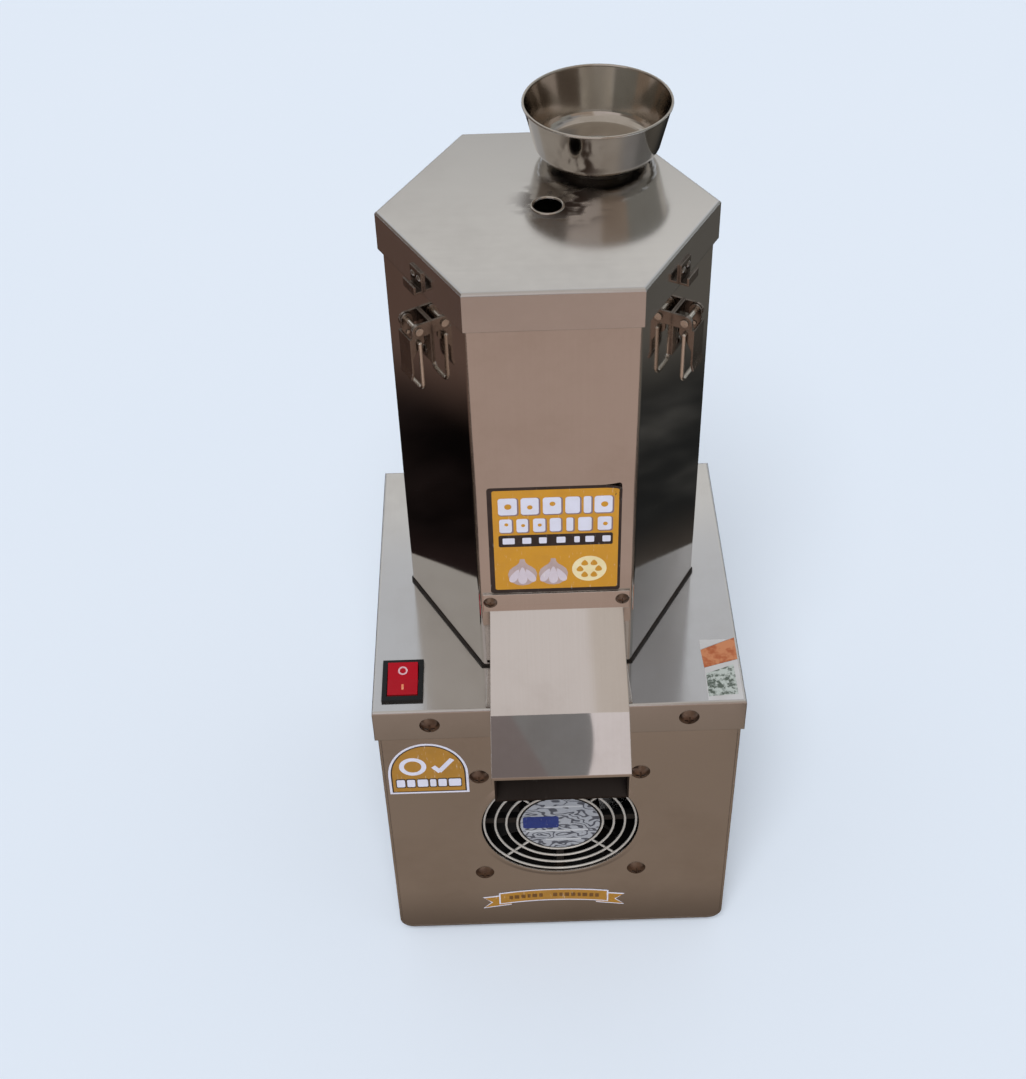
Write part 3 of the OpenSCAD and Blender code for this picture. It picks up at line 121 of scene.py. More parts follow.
def bump(tree, height, depth, normal=None, strength=1.0):
    inputs = {"Height": height, "Distance": depth, "Strength": strength}
    if normal is not None:
        inputs["Normal"] = normal
    return add(tree, "Bump", inputs).outputs["Normal"]


def new_group(name, inputs, outputs):
    """An empty node group with its sockets; returns the tree and its inner inputs and outputs."""
    tree = bpy.data.node_groups.new(name, "ShaderNodeTree")
    for label, kind, value in inputs:
        socket = tree.interface.new_socket(label, in_out="INPUT", socket_type="NodeSocket" + kind)
        socket.default_value = value
    for label, kind in outputs:
        tree.interface.new_socket(label, in_out="OUTPUT", socket_type="NodeSocket" + kind)
    return tree, tree.nodes.new("NodeGroupInput").outputs, tree.nodes.new("NodeGroupOutput").inputs


def place(tree, group, **values):
    """Places a node group in a material and returns its outputs."""
    node = tree.nodes.new("ShaderNodeGroup")
    node.node_tree = group
    for key, value in values.items():
        node.inputs[key].default_value = value
    return node.outputs


def new_material(name):
    """A material with its Principled shader; returns the material, its tree and that shader."""
    material = bpy.data.materials.new(name)
    material.use_nodes = True
    return material, material.node_tree, material.node_tree.nodes["Principled BSDF"]


def feed(tree, shader, **sockets):
    """Links sockets to the shader, or sets plain values on it."""
    for key, value in sockets.items():
        socket = shader.inputs[key.replace("_", " ")]
        if isinstance(value, bpy.types.NodeSocket):
            tree.links.new(value, socket)
        else:
            socket.default_value = value


def new_object(name, vertices, faces, finish):
    """A mesh object with one material, linked to the scene."""
    mesh = bpy.data.meshes.new(name)
    mesh.from_pydata(vertices, [], faces)
    mesh.materials.append(finish)
    piece = bpy.data.objects.new(name, mesh)
    scene.collection.objects.link(piece)
    return piece


# Effects that several materials share

def make_rolled_grain():
    """Fine streaks, hand smudges and stray specks of rolled sheet."""
    tree, given, out = new_group(
        "rolled grain",
        [("Stretch", "Vector", (10.0, 900.0, 900.0)), ("Cloud", "Float", 9.0)],
        [("Grain", "Float"), ("Smudge", "Float"), ("Speck", "Float")],
    )
    where = local(tree)
    streaks = noise(tree, stretched(tree, where, given["Stretch"]), 1.0, 4.0, 0.6)
    clouds = noise(tree, where, given["Cloud"], 6.0, 0.62)
    dots = add(tree, "TexVoronoi", {"Vector": where, "Scale": 42.0}).outputs["Distance"]
    sparse = ramp(tree, noise(tree, where, 31.0, 1.0), 0.62, 0.66)
    speck = calc(tree, "MULTIPLY", ramp(tree, dots, 0.05, 0.02), sparse)
    tree.links.new(streaks, out["Grain"])
    tree.links.new(ramp(tree, clouds, 0.42, 0.72), out["Smudge"])
    tree.links.new(speck, out["Speck"])
    return tree


def make_folded_edge():
    """Softened edges, and a mask of where they are."""
    tree, given, out = new_group(
        "folded edge",
        [("Radius", "Float", 0.6 * MM)],
        [("Edge", "Float"), ("Normal", "Vector")],
    )
    soft = add(tree, "Bevel", {"Radius": given["Radius"]}, samples=6).outputs["Normal"]
    flat = add(tree, "NewGeometry").outputs["Normal"]
    facing = add(tree, "VectorMath", {0: soft, 1: flat}, operation="DOT_PRODUCT").outputs["Value"]
    worn = noise(tree, local(tree), 160.0, 3.0)
    mask = calc(tree, "MULTIPLY", ramp(tree, facing, 0.985, 0.86), ramp(tree, worn, 0.35, 0.6))
    tree.links.new(mask, out["Edge"])
    tree.links.new(soft, out["Normal"])
    return tree


def make_corner_shade_and_dirt():
    """Painted shade with dust and grease: brown darkening where faces meet, from ambient occlusion,
    broken into patches.
    """
    tree, given, out = new_group(
        "corner shade and dirt",
        [("Reach", "Float", 6 * MM), ("Patch", "Float", 70.0)],
        [("Shade and dirt", "Float")],
    )
    open_sky = add(tree, "AmbientOcclusion", {"Distance": given["Reach"]}, samples=6).outputs["AO"]
    broken = noise(tree, local(tree), given["Patch"], 5.0, 0.65)
    # painted shade: less open sky near other faces raises the mask in corners and creases
    corner = ramp(tree, open_sky, 0.75, 0.3)
    tree.links.new(calc(tree, "MULTIPLY", corner, ramp(tree, broken, 0.3, 0.62)), out["Shade and dirt"])
    return tree


def make_moulded_skin():
    """The dull, faintly pebbled skin of a moulding, with dust and rub marks."""
    tree, given, out = new_group(
        "moulded skin",
        [("Pebble", "Float", 1800.0), ("Patch", "Float", 55.0)],
        [("Height", "Float"), ("Dust", "Float")],
    )
    where = local(tree)
    tree.links.new(noise(tree, where, given["Pebble"], 2.0), out["Height"])
    tree.links.new(ramp(tree, noise(tree, where, given["Patch"], 5.0, 0.65), 0.4, 0.8), out["Dust"])
    return tree


def make_print_wear():
    """Fading and upright scuffs of a printed film."""
    tree, given, out = new_group(
        "print wear",
        [("Patch", "Float", 90.0)],
        [("Fade", "Float"), ("Scuff", "Float")],
    )
    where = local(tree)
    scuffs = noise(tree, stretched(tree, where, (900.0, 900.0, 120.0)), 1.0, 3.0, 0.6)
    tree.links.new(noise(tree, where, given["Patch"], 5.0, 0.6), out["Fade"])
    tree.links.new(ramp(tree, scuffs, 0.62, 0.78), out["Scuff"])
    return tree


rolled_grain = make_rolled_grain()
folded_edge = make_folded_edge()
corner_shade_and_dirt = make_corner_shade_and_dirt()
moulded_skin = make_moulded_skin()
print_wear = make_print_wear()
# Brown of painted corner shade and of real specks; pale of a painted highlight and wear along edges
SHADE_AND_DIRT_BROWN = tone(62, 46, 34)
EDGE_HIGHLIGHT_AND_WEAR = tone(226, 222, 216)
SCUFF_PALE = tone(236, 230, 220)


# Finishes

def steel(name, colour, dull, rough, stretch, cloud=9.0, wave=0.5 * MM, wave_scale=7.0,
          radius=0.6 * MM, shine=0.6, reach=6 * MM, metal=1.0, scratch=0.012 * MM,
          stain_and_shade=None, stain_and_shade_tone=None):
    """Stainless sheet: grain, smudges, specks, worn folds with a painted highlight, painted shade with
    dirt where faces meet, and a slow wave that bends what it mirrors.
    """
    material, tree, shader = new_material(name)
    grain = place(tree, rolled_grain, Stretch=stretch, Cloud=cloud)
    edge = place(tree, folded_edge, Radius=radius)
    shade_and_dirt = place(tree, corner_shade_and_dirt, Reach=reach)["Shade and dirt"]
    where = local(tree)
    skin = mix(tree, weak(tree, grain["Smudge"], 0.55), colour, dull)
    skin = mix(tree, weak(tree, grain["Grain"], 0.18), skin, dull)
    # painted highlight and wear: a pale line along folds and edges
    skin = mix(tree, weak(tree, edge["Edge"], shine), skin, EDGE_HIGHLIGHT_AND_WEAR)
    # painted shade with dirt: brown where faces meet
    skin = mix(tree, weak(tree, shade_and_dirt, 0.75), skin, SHADE_AND_DIRT_BROWN)
    skin = mix(tree, weak(tree, grain["Speck"], 0.8), skin, SHADE_AND_DIRT_BROWN)
    gloss = calc(tree, "MULTIPLY_ADD", grain["Grain"], 0.5 * rough, 0.75 * rough)
    gloss = calc(tree, "ADD", gloss, weak(tree, grain["Smudge"], 0.4 * rough))
    gloss = calc(tree, "ADD", gloss, weak(tree, shade_and_dirt, 0.35))
    # a real grease stain on the lid, painted shade at the chute tray's mouth
    if stain_and_shade is not None:
        mask = stain_and_shade(tree, where)
        skin = mix(tree, weak(tree, mask, 0.95), skin, stain_and_shade_tone)
        gloss = calc(tree, "ADD", gloss, weak(tree, mask, 0.3))
    normal = bump(tree, noise(tree, where, wave_scale, 1.0), wave, edge["Normal"])
    normal = bump(tree, grain["Grain"], scratch, normal, 0.3)
    feed(tree, shader, Base_Color=skin, Roughness=gloss, Normal=normal, Metallic=metal)
    return material


def moulding(name, colour, dusty, rough, coat=0.0, pebble=1800.0, radius=0.4 * MM, mirror=0.5):
    """Plastic, rubber or paint: pebbled skin, painted shade with dust in the corners, and rubbed edges.
    """
    material, tree, shader = new_material(name)
    skin = place(tree, moulded_skin, Pebble=pebble)
    edge = place(tree, folded_edge, Radius=radius)
    shade_and_dirt = place(tree, corner_shade_and_dirt)["Shade and dirt"]
    shade = mix(tree, weak(tree, skin["Dust"], 0.35), colour, dusty)
    shade = mix(tree, weak(tree, edge["Edge"], 0.4), shade, dusty)
    # painted shade with dust: brown in corners and creases
    shade = mix(tree, weak(tree, shade_and_dirt, 0.4), shade, SHADE_AND_DIRT_BROWN)
    gloss = calc(tree, "MULTIPLY_ADD", skin["Dust"], 0.15, rough)
    normal = bump(tree, skin["Height"], 0.03 * MM, edge["Normal"], 0.4)
    feed(tree, shader, Base_Color=shade, Roughness=gloss, Normal=normal, Coat_Weight=coat,
         Coat_Roughness=0.12, Specular_IOR_Level=mirror)
    return material


def printed(name, colour, faded, rough=0.32):
    """Printed film with a clear top: fading, scuffs and a little painted shade with dirt along its edge.
    """
    material, tree, shader = new_material(name)
    wear = place(tree, print_wear)
    shade_and_dirt = place(tree, corner_shade_and_dirt, Reach=2 * MM)["Shade and dirt"]
    ink = mix(tree, ramp(tree, wear["Fade"], 0.3, 0.75, 0.0, 0.5), colour, faded)
    ink = mix(tree, weak(tree, wear["Scuff"], 0.4), ink, SCUFF_PALE)
    # painted shade with dirt: brown along the film's edges
    ink = mix(tree, weak(tree, shade_and_dirt, 0.3), ink, SHADE_AND_DIRT_BROWN)
    gloss = ramp(tree, wear["Scuff"], 0.0, 1.0, rough, rough + 0.25)
    normal = bump(tree, wear["Fade"], 0.1 * MM, strength=0.3)
    feed(tree, shader, Base_Color=ink, Roughness=gloss, Normal=normal)
    return material


def mottled(name, pale, dark, scale):
    """Printed film with dense blotches."""
    material, tree, shader = new_material(name)
    wear = place(tree, print_wear)
    blotch = ramp(tree, noise(tree, local(tree), scale, 3.0, 0.7), 0.42, 0.6)
    ink = mix(tree, blotch, pale, dark)
    ink = mix(tree, weak(tree, wear["Scuff"], 0.3), ink, pale)
    feed(tree, shader, Base_Color=ink, Roughness=ramp(tree, blotch, 0.0, 1.0, 0.3, 0.42))
    return material


def squiggled(name, colour, ink, scale, lines=11.0):
    """Printed film with fine wandering lines."""
    material, tree, shader = new_material(name)
    wear = place(tree, print_wear)
    drift = noise(tree, stretched(tree, local(tree), (1.0, 1.0, 1.8)), scale, 2.0)
    band = calc(tree, "FRACT", calc(tree, "MULTIPLY", drift, lines))
    line = ramp(tree, calc(tree, "ABSOLUTE", calc(tree, "SUBTRACT", band, 0.5)), 0.24, 0.1)
    shade = mix(tree, weak(tree, line, 0.85), colour, ink)
    shade = mix(tree, weak(tree, wear["Scuff"], 0.3), shade, colour)
    feed(tree, shader, Base_Color=shade, Roughness=ramp(tree, line, 0.0, 1.0, 0.28, 0.4))
    return material


def grease_by_hole(tree, where):
    """Smears of old grease beside the centre hole of the lid."""
    middle = tower_axis + Vector((9 * MM, 4 * MM, lid_top))
    near = ramp(tree, distance_from(tree, where, middle), 34 * MM, 9 * MM)
    streak = noise(tree, stretched(tree, where, (62.0, 105.0, 1.0)), 1.0, 2.0)
    return calc(tree, "MULTIPLY", near, ramp(tree, streak, 0.46, 0.6))


def painted_mouth_shade(tree, where):
    """Painted shade that darkens the chute tray towards its mouth, with a little unevenness."""
    lower = ramp(tree, axis(tree, where, "Y"), cover_front + 6 * MM, cover_front - 6 * MM)
    return calc(tree, "MULTIPLY", lower, ramp(tree, noise(tree, where, 60.0, 4.0), 0.1, 0.35))


def dress(finish, members):
    """Gives a finish to each of the named nodes."""
    for member in members.split():
        nodes[member].data.materials.clear()
        nodes[member].data.materials.append(finish)


BRIGHT = tone(214, 210, 206)
DULL = tone(194, 187, 180)
dress(
    steel("box steel", BRIGHT, DULL, rough=0.17, stretch=(14.0, 900.0, 900.0), shine=0.3),
    "base_wrap front_panel rear_panel",
)
dress(
    steel("cover steel", tone(212, 211, 210), tone(196, 193, 190), rough=0.11,
          stretch=(900.0, 14.0, 900.0), wave=0.3 * MM, shine=0.3),
    "base_top_cover",
)
dress(
    steel("tower steel", BRIGHT, DULL, rough=0.06, stretch=(700.0, 700.0, 9.0), shine=0.3),
    "tower_shell",
)
dress(
    steel("lid steel", tone(212, 210, 208), tone(197, 194, 191), rough=0.13,
          stretch=(14.0, 900.0, 900.0), shine=0.2, reach=1.5 * MM, stain_and_shade=grease_by_hole,
          stain_and_shade_tone=tone(66, 50, 41)),
    "lid_cap",
)
dress(
    steel("chute steel", tone(222, 218, 214), DULL, rough=0.03, stretch=(900.0, 12.0, 12.0),
          wave=0.06 * MM, shine=0.3, scratch=0.002 * MM),
    "chute_cover",
)
# tray: painted shade darkens it towards the mouth
dress(
    steel("tray steel", BRIGHT, DULL, rough=0.24, stretch=(900.0, 12.0, 12.0), wave=0.3 * MM,
          stain_and_shade=painted_mouth_shade, stain_and_shade_tone=tone(38, 31, 29)),
    "chute_tray",
)
dress(
    steel("chamber steel", tone(190, 188, 184), tone(150, 146, 140), rough=0.34,
          stretch=(500.0, 500.0, 9.0)),
    "chamber_floor chamber_drum feed_throat",
)
dress(
    steel("bowl steel", tone(198, 192, 184), tone(164, 155, 145), rough=0.11,
          stretch=(8.0, 8.0, 420.0), cloud=24.0, wave=0.5 * MM, wave_scale=22.0,
          radius=0.3 * MM, reach=1.5 * MM),
    "feed_bowl lid_eyelet",
)
dress(
    steel("latch steel", tone(154, 145, 137), tone(98, 87, 79), rough=0.2,
          stretch=(300.0, 300.0, 40.0), cloud=60.0, wave=0.1 * MM, wave_scale=40.0,
          radius=0.4 * MM, shine=0.2),
    "latch_base_left latch_base_right latch_lever_left latch_lever_right keeper_left keeper_right"
    " latch_rivets keeper_rivets",
)
dress(
    steel("bright wire", tone(224, 218, 208), tone(178, 168, 156), rough=0.22,
          stretch=(300.0, 300.0, 300.0), cloud=80.0, wave=0.05 * MM, wave_scale=60.0,
          radius=0.2 * MM),
    "latch_bail_left latch_bail_right latch_pin_left latch_pin_right",
)
dress(
    steel("guard wire", tone(222, 219, 213), tone(192, 187, 180), rough=0.3,
          stretch=(300.0, 300.0, 300.0), cloud=80.0, wave=0.05 * MM, wave_scale=60.0,
          radius=0.2 * MM, reach=1 * MM, metal=0.55),
    "fan_guard",
)
dress(
    steel("tarnished screw", tone(132, 112, 98), tone(74, 57, 47), rough=0.3,
          stretch=(200.0, 200.0, 200.0), cloud=120.0, wave=0.1 * MM, wave_scale=90.0,
          radius=0.3 * MM),
    "cover_screws fan_screws chute_screws foot_screws",
)
dress(
    steel("machined steel", tone(168, 168, 170), tone(120, 118, 116), rough=0.32,
          stretch=(90.0, 90.0, 1400.0), cloud=40.0, wave=0.05 * MM, wave_scale=50.0,
          radius=0.4 * MM),
    "mount_plate motor_posts motor_nuts shaft_bearing motor_shaft shaft_coupling spindle_shaft"
    " rotor_nut capacitor_clip fan_nuts tower_bolts tower_nuts bearing_bolts",
)
dress(
    moulding("fan moulding", tone(11, 11, 12), tone(48, 46, 44), rough=0.5),
    "fan_frame fan_impeller",
)
dress(
    moulding("soft rubber", tone(15, 14, 14), tone(52, 48, 44), rough=0.6, pebble=1200.0),
    "rubber_feet cable_grommet tower_gasket shaft_seal",
)
dress(
    moulding("finger rubber", tone(78, 74, 68), tone(128, 120, 108), rough=0.66, pebble=900.0),
    "rubber_fingers",
)
dress(
    moulding("switch black", tone(10, 14, 17), tone(28, 33, 37), rough=0.26, mirror=0.3),
    "switch_housing",
)
dress(
    moulding("switch red", tone(160, 8, 28), tone(172, 22, 40), rough=0.3, mirror=0.2),
    "switch_rocker",
)
dress(
    moulding("motor paint", tone(84, 90, 96), tone(120, 122, 122), rough=0.4, coat=0.2,
             pebble=700.0),
    "motor_housing motor_top_bell motor_bottom_bell bearing_housing",
)
dress(
    moulding("rotor plastic", tone(226, 222, 212), tone(196, 186, 166), rough=0.42),
    "rotor_core",
)
dress(
    moulding("capacitor white", tone(228, 228, 224), tone(196, 192, 184), rough=0.4),
    "run_capacitor",
)


# Outlines of prints, in millimetres

def round_rect(width, height, corner, steps=6):
    """Outline of a rectangle with round corners, about its middle."""
    points = []
    for i, (sx, sy) in enumerate(((1, 1), (-1, 1), (-1, -1), (1, -1))):
        for k in range(steps + 1):
            angle = pi / 2 * (i + k / steps)
            x = sx * (width / 2 - corner) + corner * cos(angle)
            y = sy * (height / 2 - corner) + corner * sin(angle)
            points.append((x, y))
    return points


def disc(radius, steps=48):
    return [(radius * cos(2 * pi * i / steps), radius * sin(2 * pi * i / steps)) for i in range(steps)]


def clove(width, height, steps=32, taper=0.45):
    """Outline of a plump drop with its tip upward."""
    points = []
    for i in range(steps):
        angle = 2 * pi * i / steps
        points.append((width / 2 * cos(angle) * (1 - taper * sin(angle)), height / 2 * sin(angle)))
    return points


def bulb(width, height):
    """Outline of a round bulb that narrows into a short neck."""
    heights = (-1.0, -0.94, -0.76, -0.46, -0.12, 0.2, 0.42, 0.58, 0.74, 1.0)
    shares = (0.0, 0.4, 0.72, 0.94, 1.0, 0.88, 0.62, 0.36, 0.22, 0.15)
    right = [(share * width / 2, up * height / 2) for up, share in zip(heights, shares)]
    return right + [(-x, y) for x, y in reversed(right[1:])]


def stroke(start, end, width):
    """A straight bar between two points."""
    (x0, y0), (x1, y1) = start, end
    length = ((x1 - x0) ** 2 + (y1 - y0) ** 2) ** 0.5
    aside_x, aside_y = (y1 - y0) / length * width / 2, (x0 - x1) / length * width / 2
    return [(x0 + aside_x, y0 + aside_y), (x1 + aside_x, y1 + aside_y),
            (x1 - aside_x, y1 - aside_y), (x0 - aside_x, y0 - aside_y)]


def turned(outline, angle):
    return [(x * cos(angle) - y * sin(angle), x * sin(angle) + y * cos(angle)) for x, y in outline]


def moved(outline, x, y):
    return [(px + x, py + y) for px, py in outline]


def blocks(spans, tall, y, x=0.0, grow=0.0):
    """A row of plain blocks, each given by where it starts and ends along the row."""
    row = []
    for left, right in spans:
        width, height = right - left + 2 * grow, tall + 2 * grow
        outline = round_rect(width, height, min(0.14 * height, 0.3 * width))
        row.append(moved(outline, x + (left + right) / 2, y))
    return row


def split(outline, reach):
    """The outline with points added on every side that is longer than reach."""
    points = []
    for (x0, y0), (x1, y1) in zip(outline, outline[1:] + outline[:1]):
        parts = max(1, round(((x1 - x0) ** 2 + (y1 - y0) ** 2) ** 0.5 / reach))
        points += [(x0 + (x1 - x0) * k / parts, y0 + (y1 - y0) * k / parts) for k in range(parts)]
    return points


# Prints: thin films laid on a face of the machine, in layers

POINT_REACH = 2.5
FILM_THICK, LAYER_STEP = 0.12, 0.05


def film(name, outlines, finish, onto, step=0, loops=6, body="machine"):
    """Closed thin pieces, one for each outline, in a layer above the face that onto() describes.

    The first layer lies on the face. Each further one starts at the top of the layer under it.
    """
    high = FILM_THICK + LAYER_STEP * step
    low = high - LAYER_STEP if step else 0.0
    vertices, faces = [], []
    for outline in outlines:
        outline = split(outline, POINT_REACH)
        count = len(outline)
        mid_x = sum(x for x, y in outline) / count
        mid_y = sum(y for x, y in outline) / count
        start = len(vertices)
        for height in (low, high):
            rings = [
                (mid_x + (x - mid_x) * loop / loops, mid_y + (y - mid_y) * loop / loops)
                for loop in range(1, loops + 1)
                for x, y in outline
            ]
            vertices += [onto(x * MM, y * MM, height * MM) for x, y in rings + [(mid_x, mid_y)]]
        layer = loops * count + 1
        for level in (0, 1):
            first = start + level * layer
            centre = first + loops * count
            for i in range(count):
                j = (i + 1) % count
                ring = [(centre, first + i, first + j)]
                for loop in range(loops - 1):
                    inner, outer = first + loop * count, first + (loop + 1) * count
                    ring.append((inner + i, outer + i, outer + j, inner + j))
                faces += ring if level else [face[::-1] for face in ring]
        rim = start + (loops - 1) * count
        for i in range(count):
            j = (i + 1) % count
            faces.append((rim + i, rim + j, rim + layer + j, rim + layer + i))
    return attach(new_object(name, vertices, faces, finish), body)


def on_panel(x, y, height):
    return x, panel_front - height, y


print_orange = printed("print orange", tone(202, 142, 30), tone(188, 130, 38))
print_gold = printed("print gold", tone(172, 122, 38), tone(150, 108, 46))
print_dark = printed("print dark", tone(36, 26, 24), tone(58, 46, 42))
print_shade = printed("print shade", tone(126, 108, 118), tone(146, 112, 84))
print_pale = printed("print pale", tone(218, 216, 230), tone(204, 200, 210))
print_cream = printed("print cream", tone(236, 220, 176), tone(222, 196, 132))
print_lilac = printed("print lilac", tone(186, 164, 160), tone(158, 132, 128))
print_skin = printed("print skin", tone(212, 200, 208), tone(190, 172, 178))
print_brown = printed("print brown", tone(104, 68, 28), tone(122, 84, 40))
print_blue = printed("print blue", tone(24, 44, 112), tone(40, 60, 120))
print_rust = mottled("print rust", tone(188, 122, 82), tone(162, 86, 48), 90.0)
print_blank = printed("print blank", tone(190, 190, 192), tone(178, 176, 176))
print_leaf = mottled("print leaf", tone(176, 184, 180), tone(78, 88, 80), 300.0)
print_silver = squiggled("print silver", tone(160, 161, 166), tone(40, 44, 58), 44.0)

# Front label of the tower: rows of blocks above two bulbs and a slice
LABEL_X, LABEL_Z = -0.5 * MM, 350 * MM
LABEL_WIDTH, LABEL_HEIGHT = 78.6, 85
CURL_SIZE, CURL_RISE = 13 * MM, 2.2 * MM


def on_tower_front(x, y, height):
    """A point of the front label, whose upper right corner has come away a little."""
    inside = (LABEL_WIDTH / 2 + LABEL_HEIGHT / 2) * MM - x - y
    curl = max(0.0, CURL_SIZE - inside) / CURL_SIZE
    return LABEL_X + x, tower_front - height - CURL_RISE * curl ** 2, LABEL_Z + y


border = round_rect(LABEL_WIDTH, LABEL_HEIGHT, 2)
field = moved(round_rect(LABEL_WIDTH - 4.6, LABEL_HEIGHT - 5, 1.4), 0.6, 0.4)
film("label_border", [border], print_dark, on_tower_front, loops=18)
film("label_field", [field], print_orange, on_tower_front, step=1, loops=18)

TOP_Y, TOP_TALL = 28, 13
MIDDLE_Y, MIDDLE_TALL = 12.9, 10.6
BAR_Y, BAR_TALL, BAR_BLOCK_TALL = 0.6, 9.4, 4.8
SHADE_ASIDE, SHADE_DOWN = 0.5, 0.4
top_row = [(-33, -21.9), (-19.7, -9.2), (-6.8, 3.9), (6.3, 14.8), (17, 21.4), (23.3, 33.8)]
middle_row = [(-32.6, -25.2), (-22.5, -15.7), (-12.7, -5.5), (-2.9, 3.7), (6.9, 10.9), (13.8, 21.7),
              (25.3, 33.4)]
bar_row = [(-31, -23.8), (-19.3, -14), (-9.4, -4.8), (1, 6.3), (11.5, 14.8), (18.1, 23.3), (28.2, 33.1)]
shades = blocks(top_row, TOP_TALL, TOP_Y - SHADE_DOWN, SHADE_ASIDE, grow=0.45)
shades += blocks(middle_row, MIDDLE_TALL, MIDDLE_Y - SHADE_DOWN, SHADE_ASIDE, grow=0.4)
film("label_shades", shades, print_shade, on_tower_front, step=2, loops=3)
bar = blocks([(-33.4, 34.4)], BAR_TALL, BAR_Y)
film("label_bar", bar, print_dark, on_tower_front, step=2, loops=3)
rows = blocks(top_row, TOP_TALL, TOP_Y) + blocks(middle_row, MIDDLE_TALL, MIDDLE_Y)
rows += blocks(bar_row, BAR_BLOCK_TALL, BAR_Y)
film("label_blocks", rows, print_pale, on_tower_front, step=3, loops=3)
dots = [
    moved(disc(radius, 20), x, y)
    for x, y, radius in ((-27.2, 28, 2.1), (-14.4, 27.2, 1.6), (-1.2, 29.4, 1.7), (29.2, 28, 2.1),
                         (-28.4, 14, 1.2), (-18.6, 13, 1.2), (-8.8, 13, 1.2), (29.8, 12.6, 1.4))
]
film("label_dots", dots, print_orange, on_tower_front, step=4, loops=2)

BULB_XS = (-19.7, -1.1)
BULB_Y, CLOVE_Y = -25.4, -28.2
CLOVE_SPREAD = 0.195
bulbs = [moved(bulb(17.6, 22), x, BULB_Y) for x in BULB_XS]
film("label_bulbs", bulbs, print_lilac, on_tower_front, step=2)
cloves = [
    moved(turned(clove(width, height), radians(lean)), x + lean * CLOVE_SPREAD, CLOVE_Y)
    for x in BULB_XS
    for lean, width, height in ((-24, 4.4, 11.5), (0, 5.2, 14), (24, 4.4, 11.5))
]
film("label_cloves", cloves, print_skin, on_tower_front, step=3, loops=3)

SLICE_X, SLICE_Y = 20.6, -23.8
CELL_RING, CELLS = 5.6, 6
film("label_slice", [moved(disc(10.4), SLICE_X, SLICE_Y)], print_cream, on_tower_front, step=2)
cells = [
    moved(clove(3.8, 4.6), SLICE_X + CELL_RING * cos(angle), SLICE_Y + CELL_RING * sin(angle))
    for angle in (2 * pi * i / CELLS for i in range(CELLS))
]
film("label_cells", cells, print_orange, on_tower_front, step=3, loops=3)

# Arched sticker on the left of the front panel: a ring, a tick and a row of blocks
ARCH_X, ARCH_Z = -85.4, 184
RING_X, RING_Z = ARCH_X - 9.6, ARCH_Z + 2.6
TICK_X, TICK_Z, TICK_WIDTH = ARCH_X + 9.6, ARCH_Z + 1.4, 3.4
ARCH_ROW_Z = ARCH_Z - 14.2


def arch_outline(width, height, steps=24):
    """A rectangle whose upper side is half an ellipse."""
    points = [(-width / 2, -height / 2), (width / 2, -height / 2)]
    for i in range(steps + 1):
        angle = pi * i / steps
        points.append((width / 2 * cos(angle), height * (0.62 * sin(angle) - 0.12)))
    return moved(points, ARCH_X, ARCH_Z)


film("arch_border", [arch_outline(52, 50)], print_pale, on_panel)
film("arch_line", [arch_outline(48.8, 46.8)], print_dark, on_panel, step=1)
film("arch_field", [arch_outline(47, 45)], print_gold, on_panel, step=2)
film("arch_ring", [moved(disc(8.8), RING_X, RING_Z)], print_pale, on_panel, step=3, loops=3)
film("arch_ring_middle", [moved(disc(5.6), RING_X, RING_Z)], print_gold, on_panel, step=4, loops=3)
tick_long = moved(stroke((-2.4, -4.4), (6.6, 8), TICK_WIDTH), TICK_X, TICK_Z)
tick_short = moved(stroke((-6, 1), (-1.6, -4.6), TICK_WIDTH), TICK_X, TICK_Z)
film("arch_tick_long", [tick_long], print_pale, on_panel, step=3, loops=2)
film("arch_tick_short", [tick_short], print_pale, on_panel, step=4, loops=2)
arch_row = [(-21, -15.6), (-14.2, -9), (-7.4, -0.6), (0.8, 4.8), (6.2, 11.6), (13, 21)]
arch_shades = blocks(arch_row, 8, ARCH_ROW_Z, ARCH_X, grow=0.6)
film("arch_shades", arch_shades, print_dark, on_panel, step=3, loops=3)
film("arch_blocks", blocks(arch_row, 7.4, ARCH_ROW_Z, ARCH_X), print_pale, on_panel, step=4, loops=3)

# Ribbon sticker low on the front panel
RIBBON_X, RIBBON_Z = -5, 37
RIBBON_HALF, RIBBON_TALL, RIBBON_BOW = 37.6, 11.2, 3.4


def ribbon_rise(share):
    """How far the band bows upward at a share of its half length."""
    return RIBBON_BOW * (1 - share ** 2)


def ribbon_outline(half, tall, steps=14):
    """A band that bows upward in the middle."""
    shares = [2 * i / steps - 1 for i in range(steps + 1)]
    spine = [(half * share, ribbon_rise(share)) for share in shares]
    lower = [(x, y - tall / 2) for x, y in spine]
    upper = [(x, y + tall / 2) for x, y in reversed(spine)]
    return moved(lower + upper, RIBBON_X, RIBBON_Z)


def ribbon_tails(spread):
    """The swallow tails at both ends of the ribbon, which show beside the band."""
    near, far, notch = 30, 49 + spread, 43 + spread
    right = [(near, -6.5 - spread), (far, -10 - spread), (notch, -4), (far, 1 + spread),
             (near, 4 + spread)]
    left = [(-x, y) for x, y in reversed(right)]
    return [moved(tail, RIBBON_X, RIBBON_Z) for tail in (left, right)]


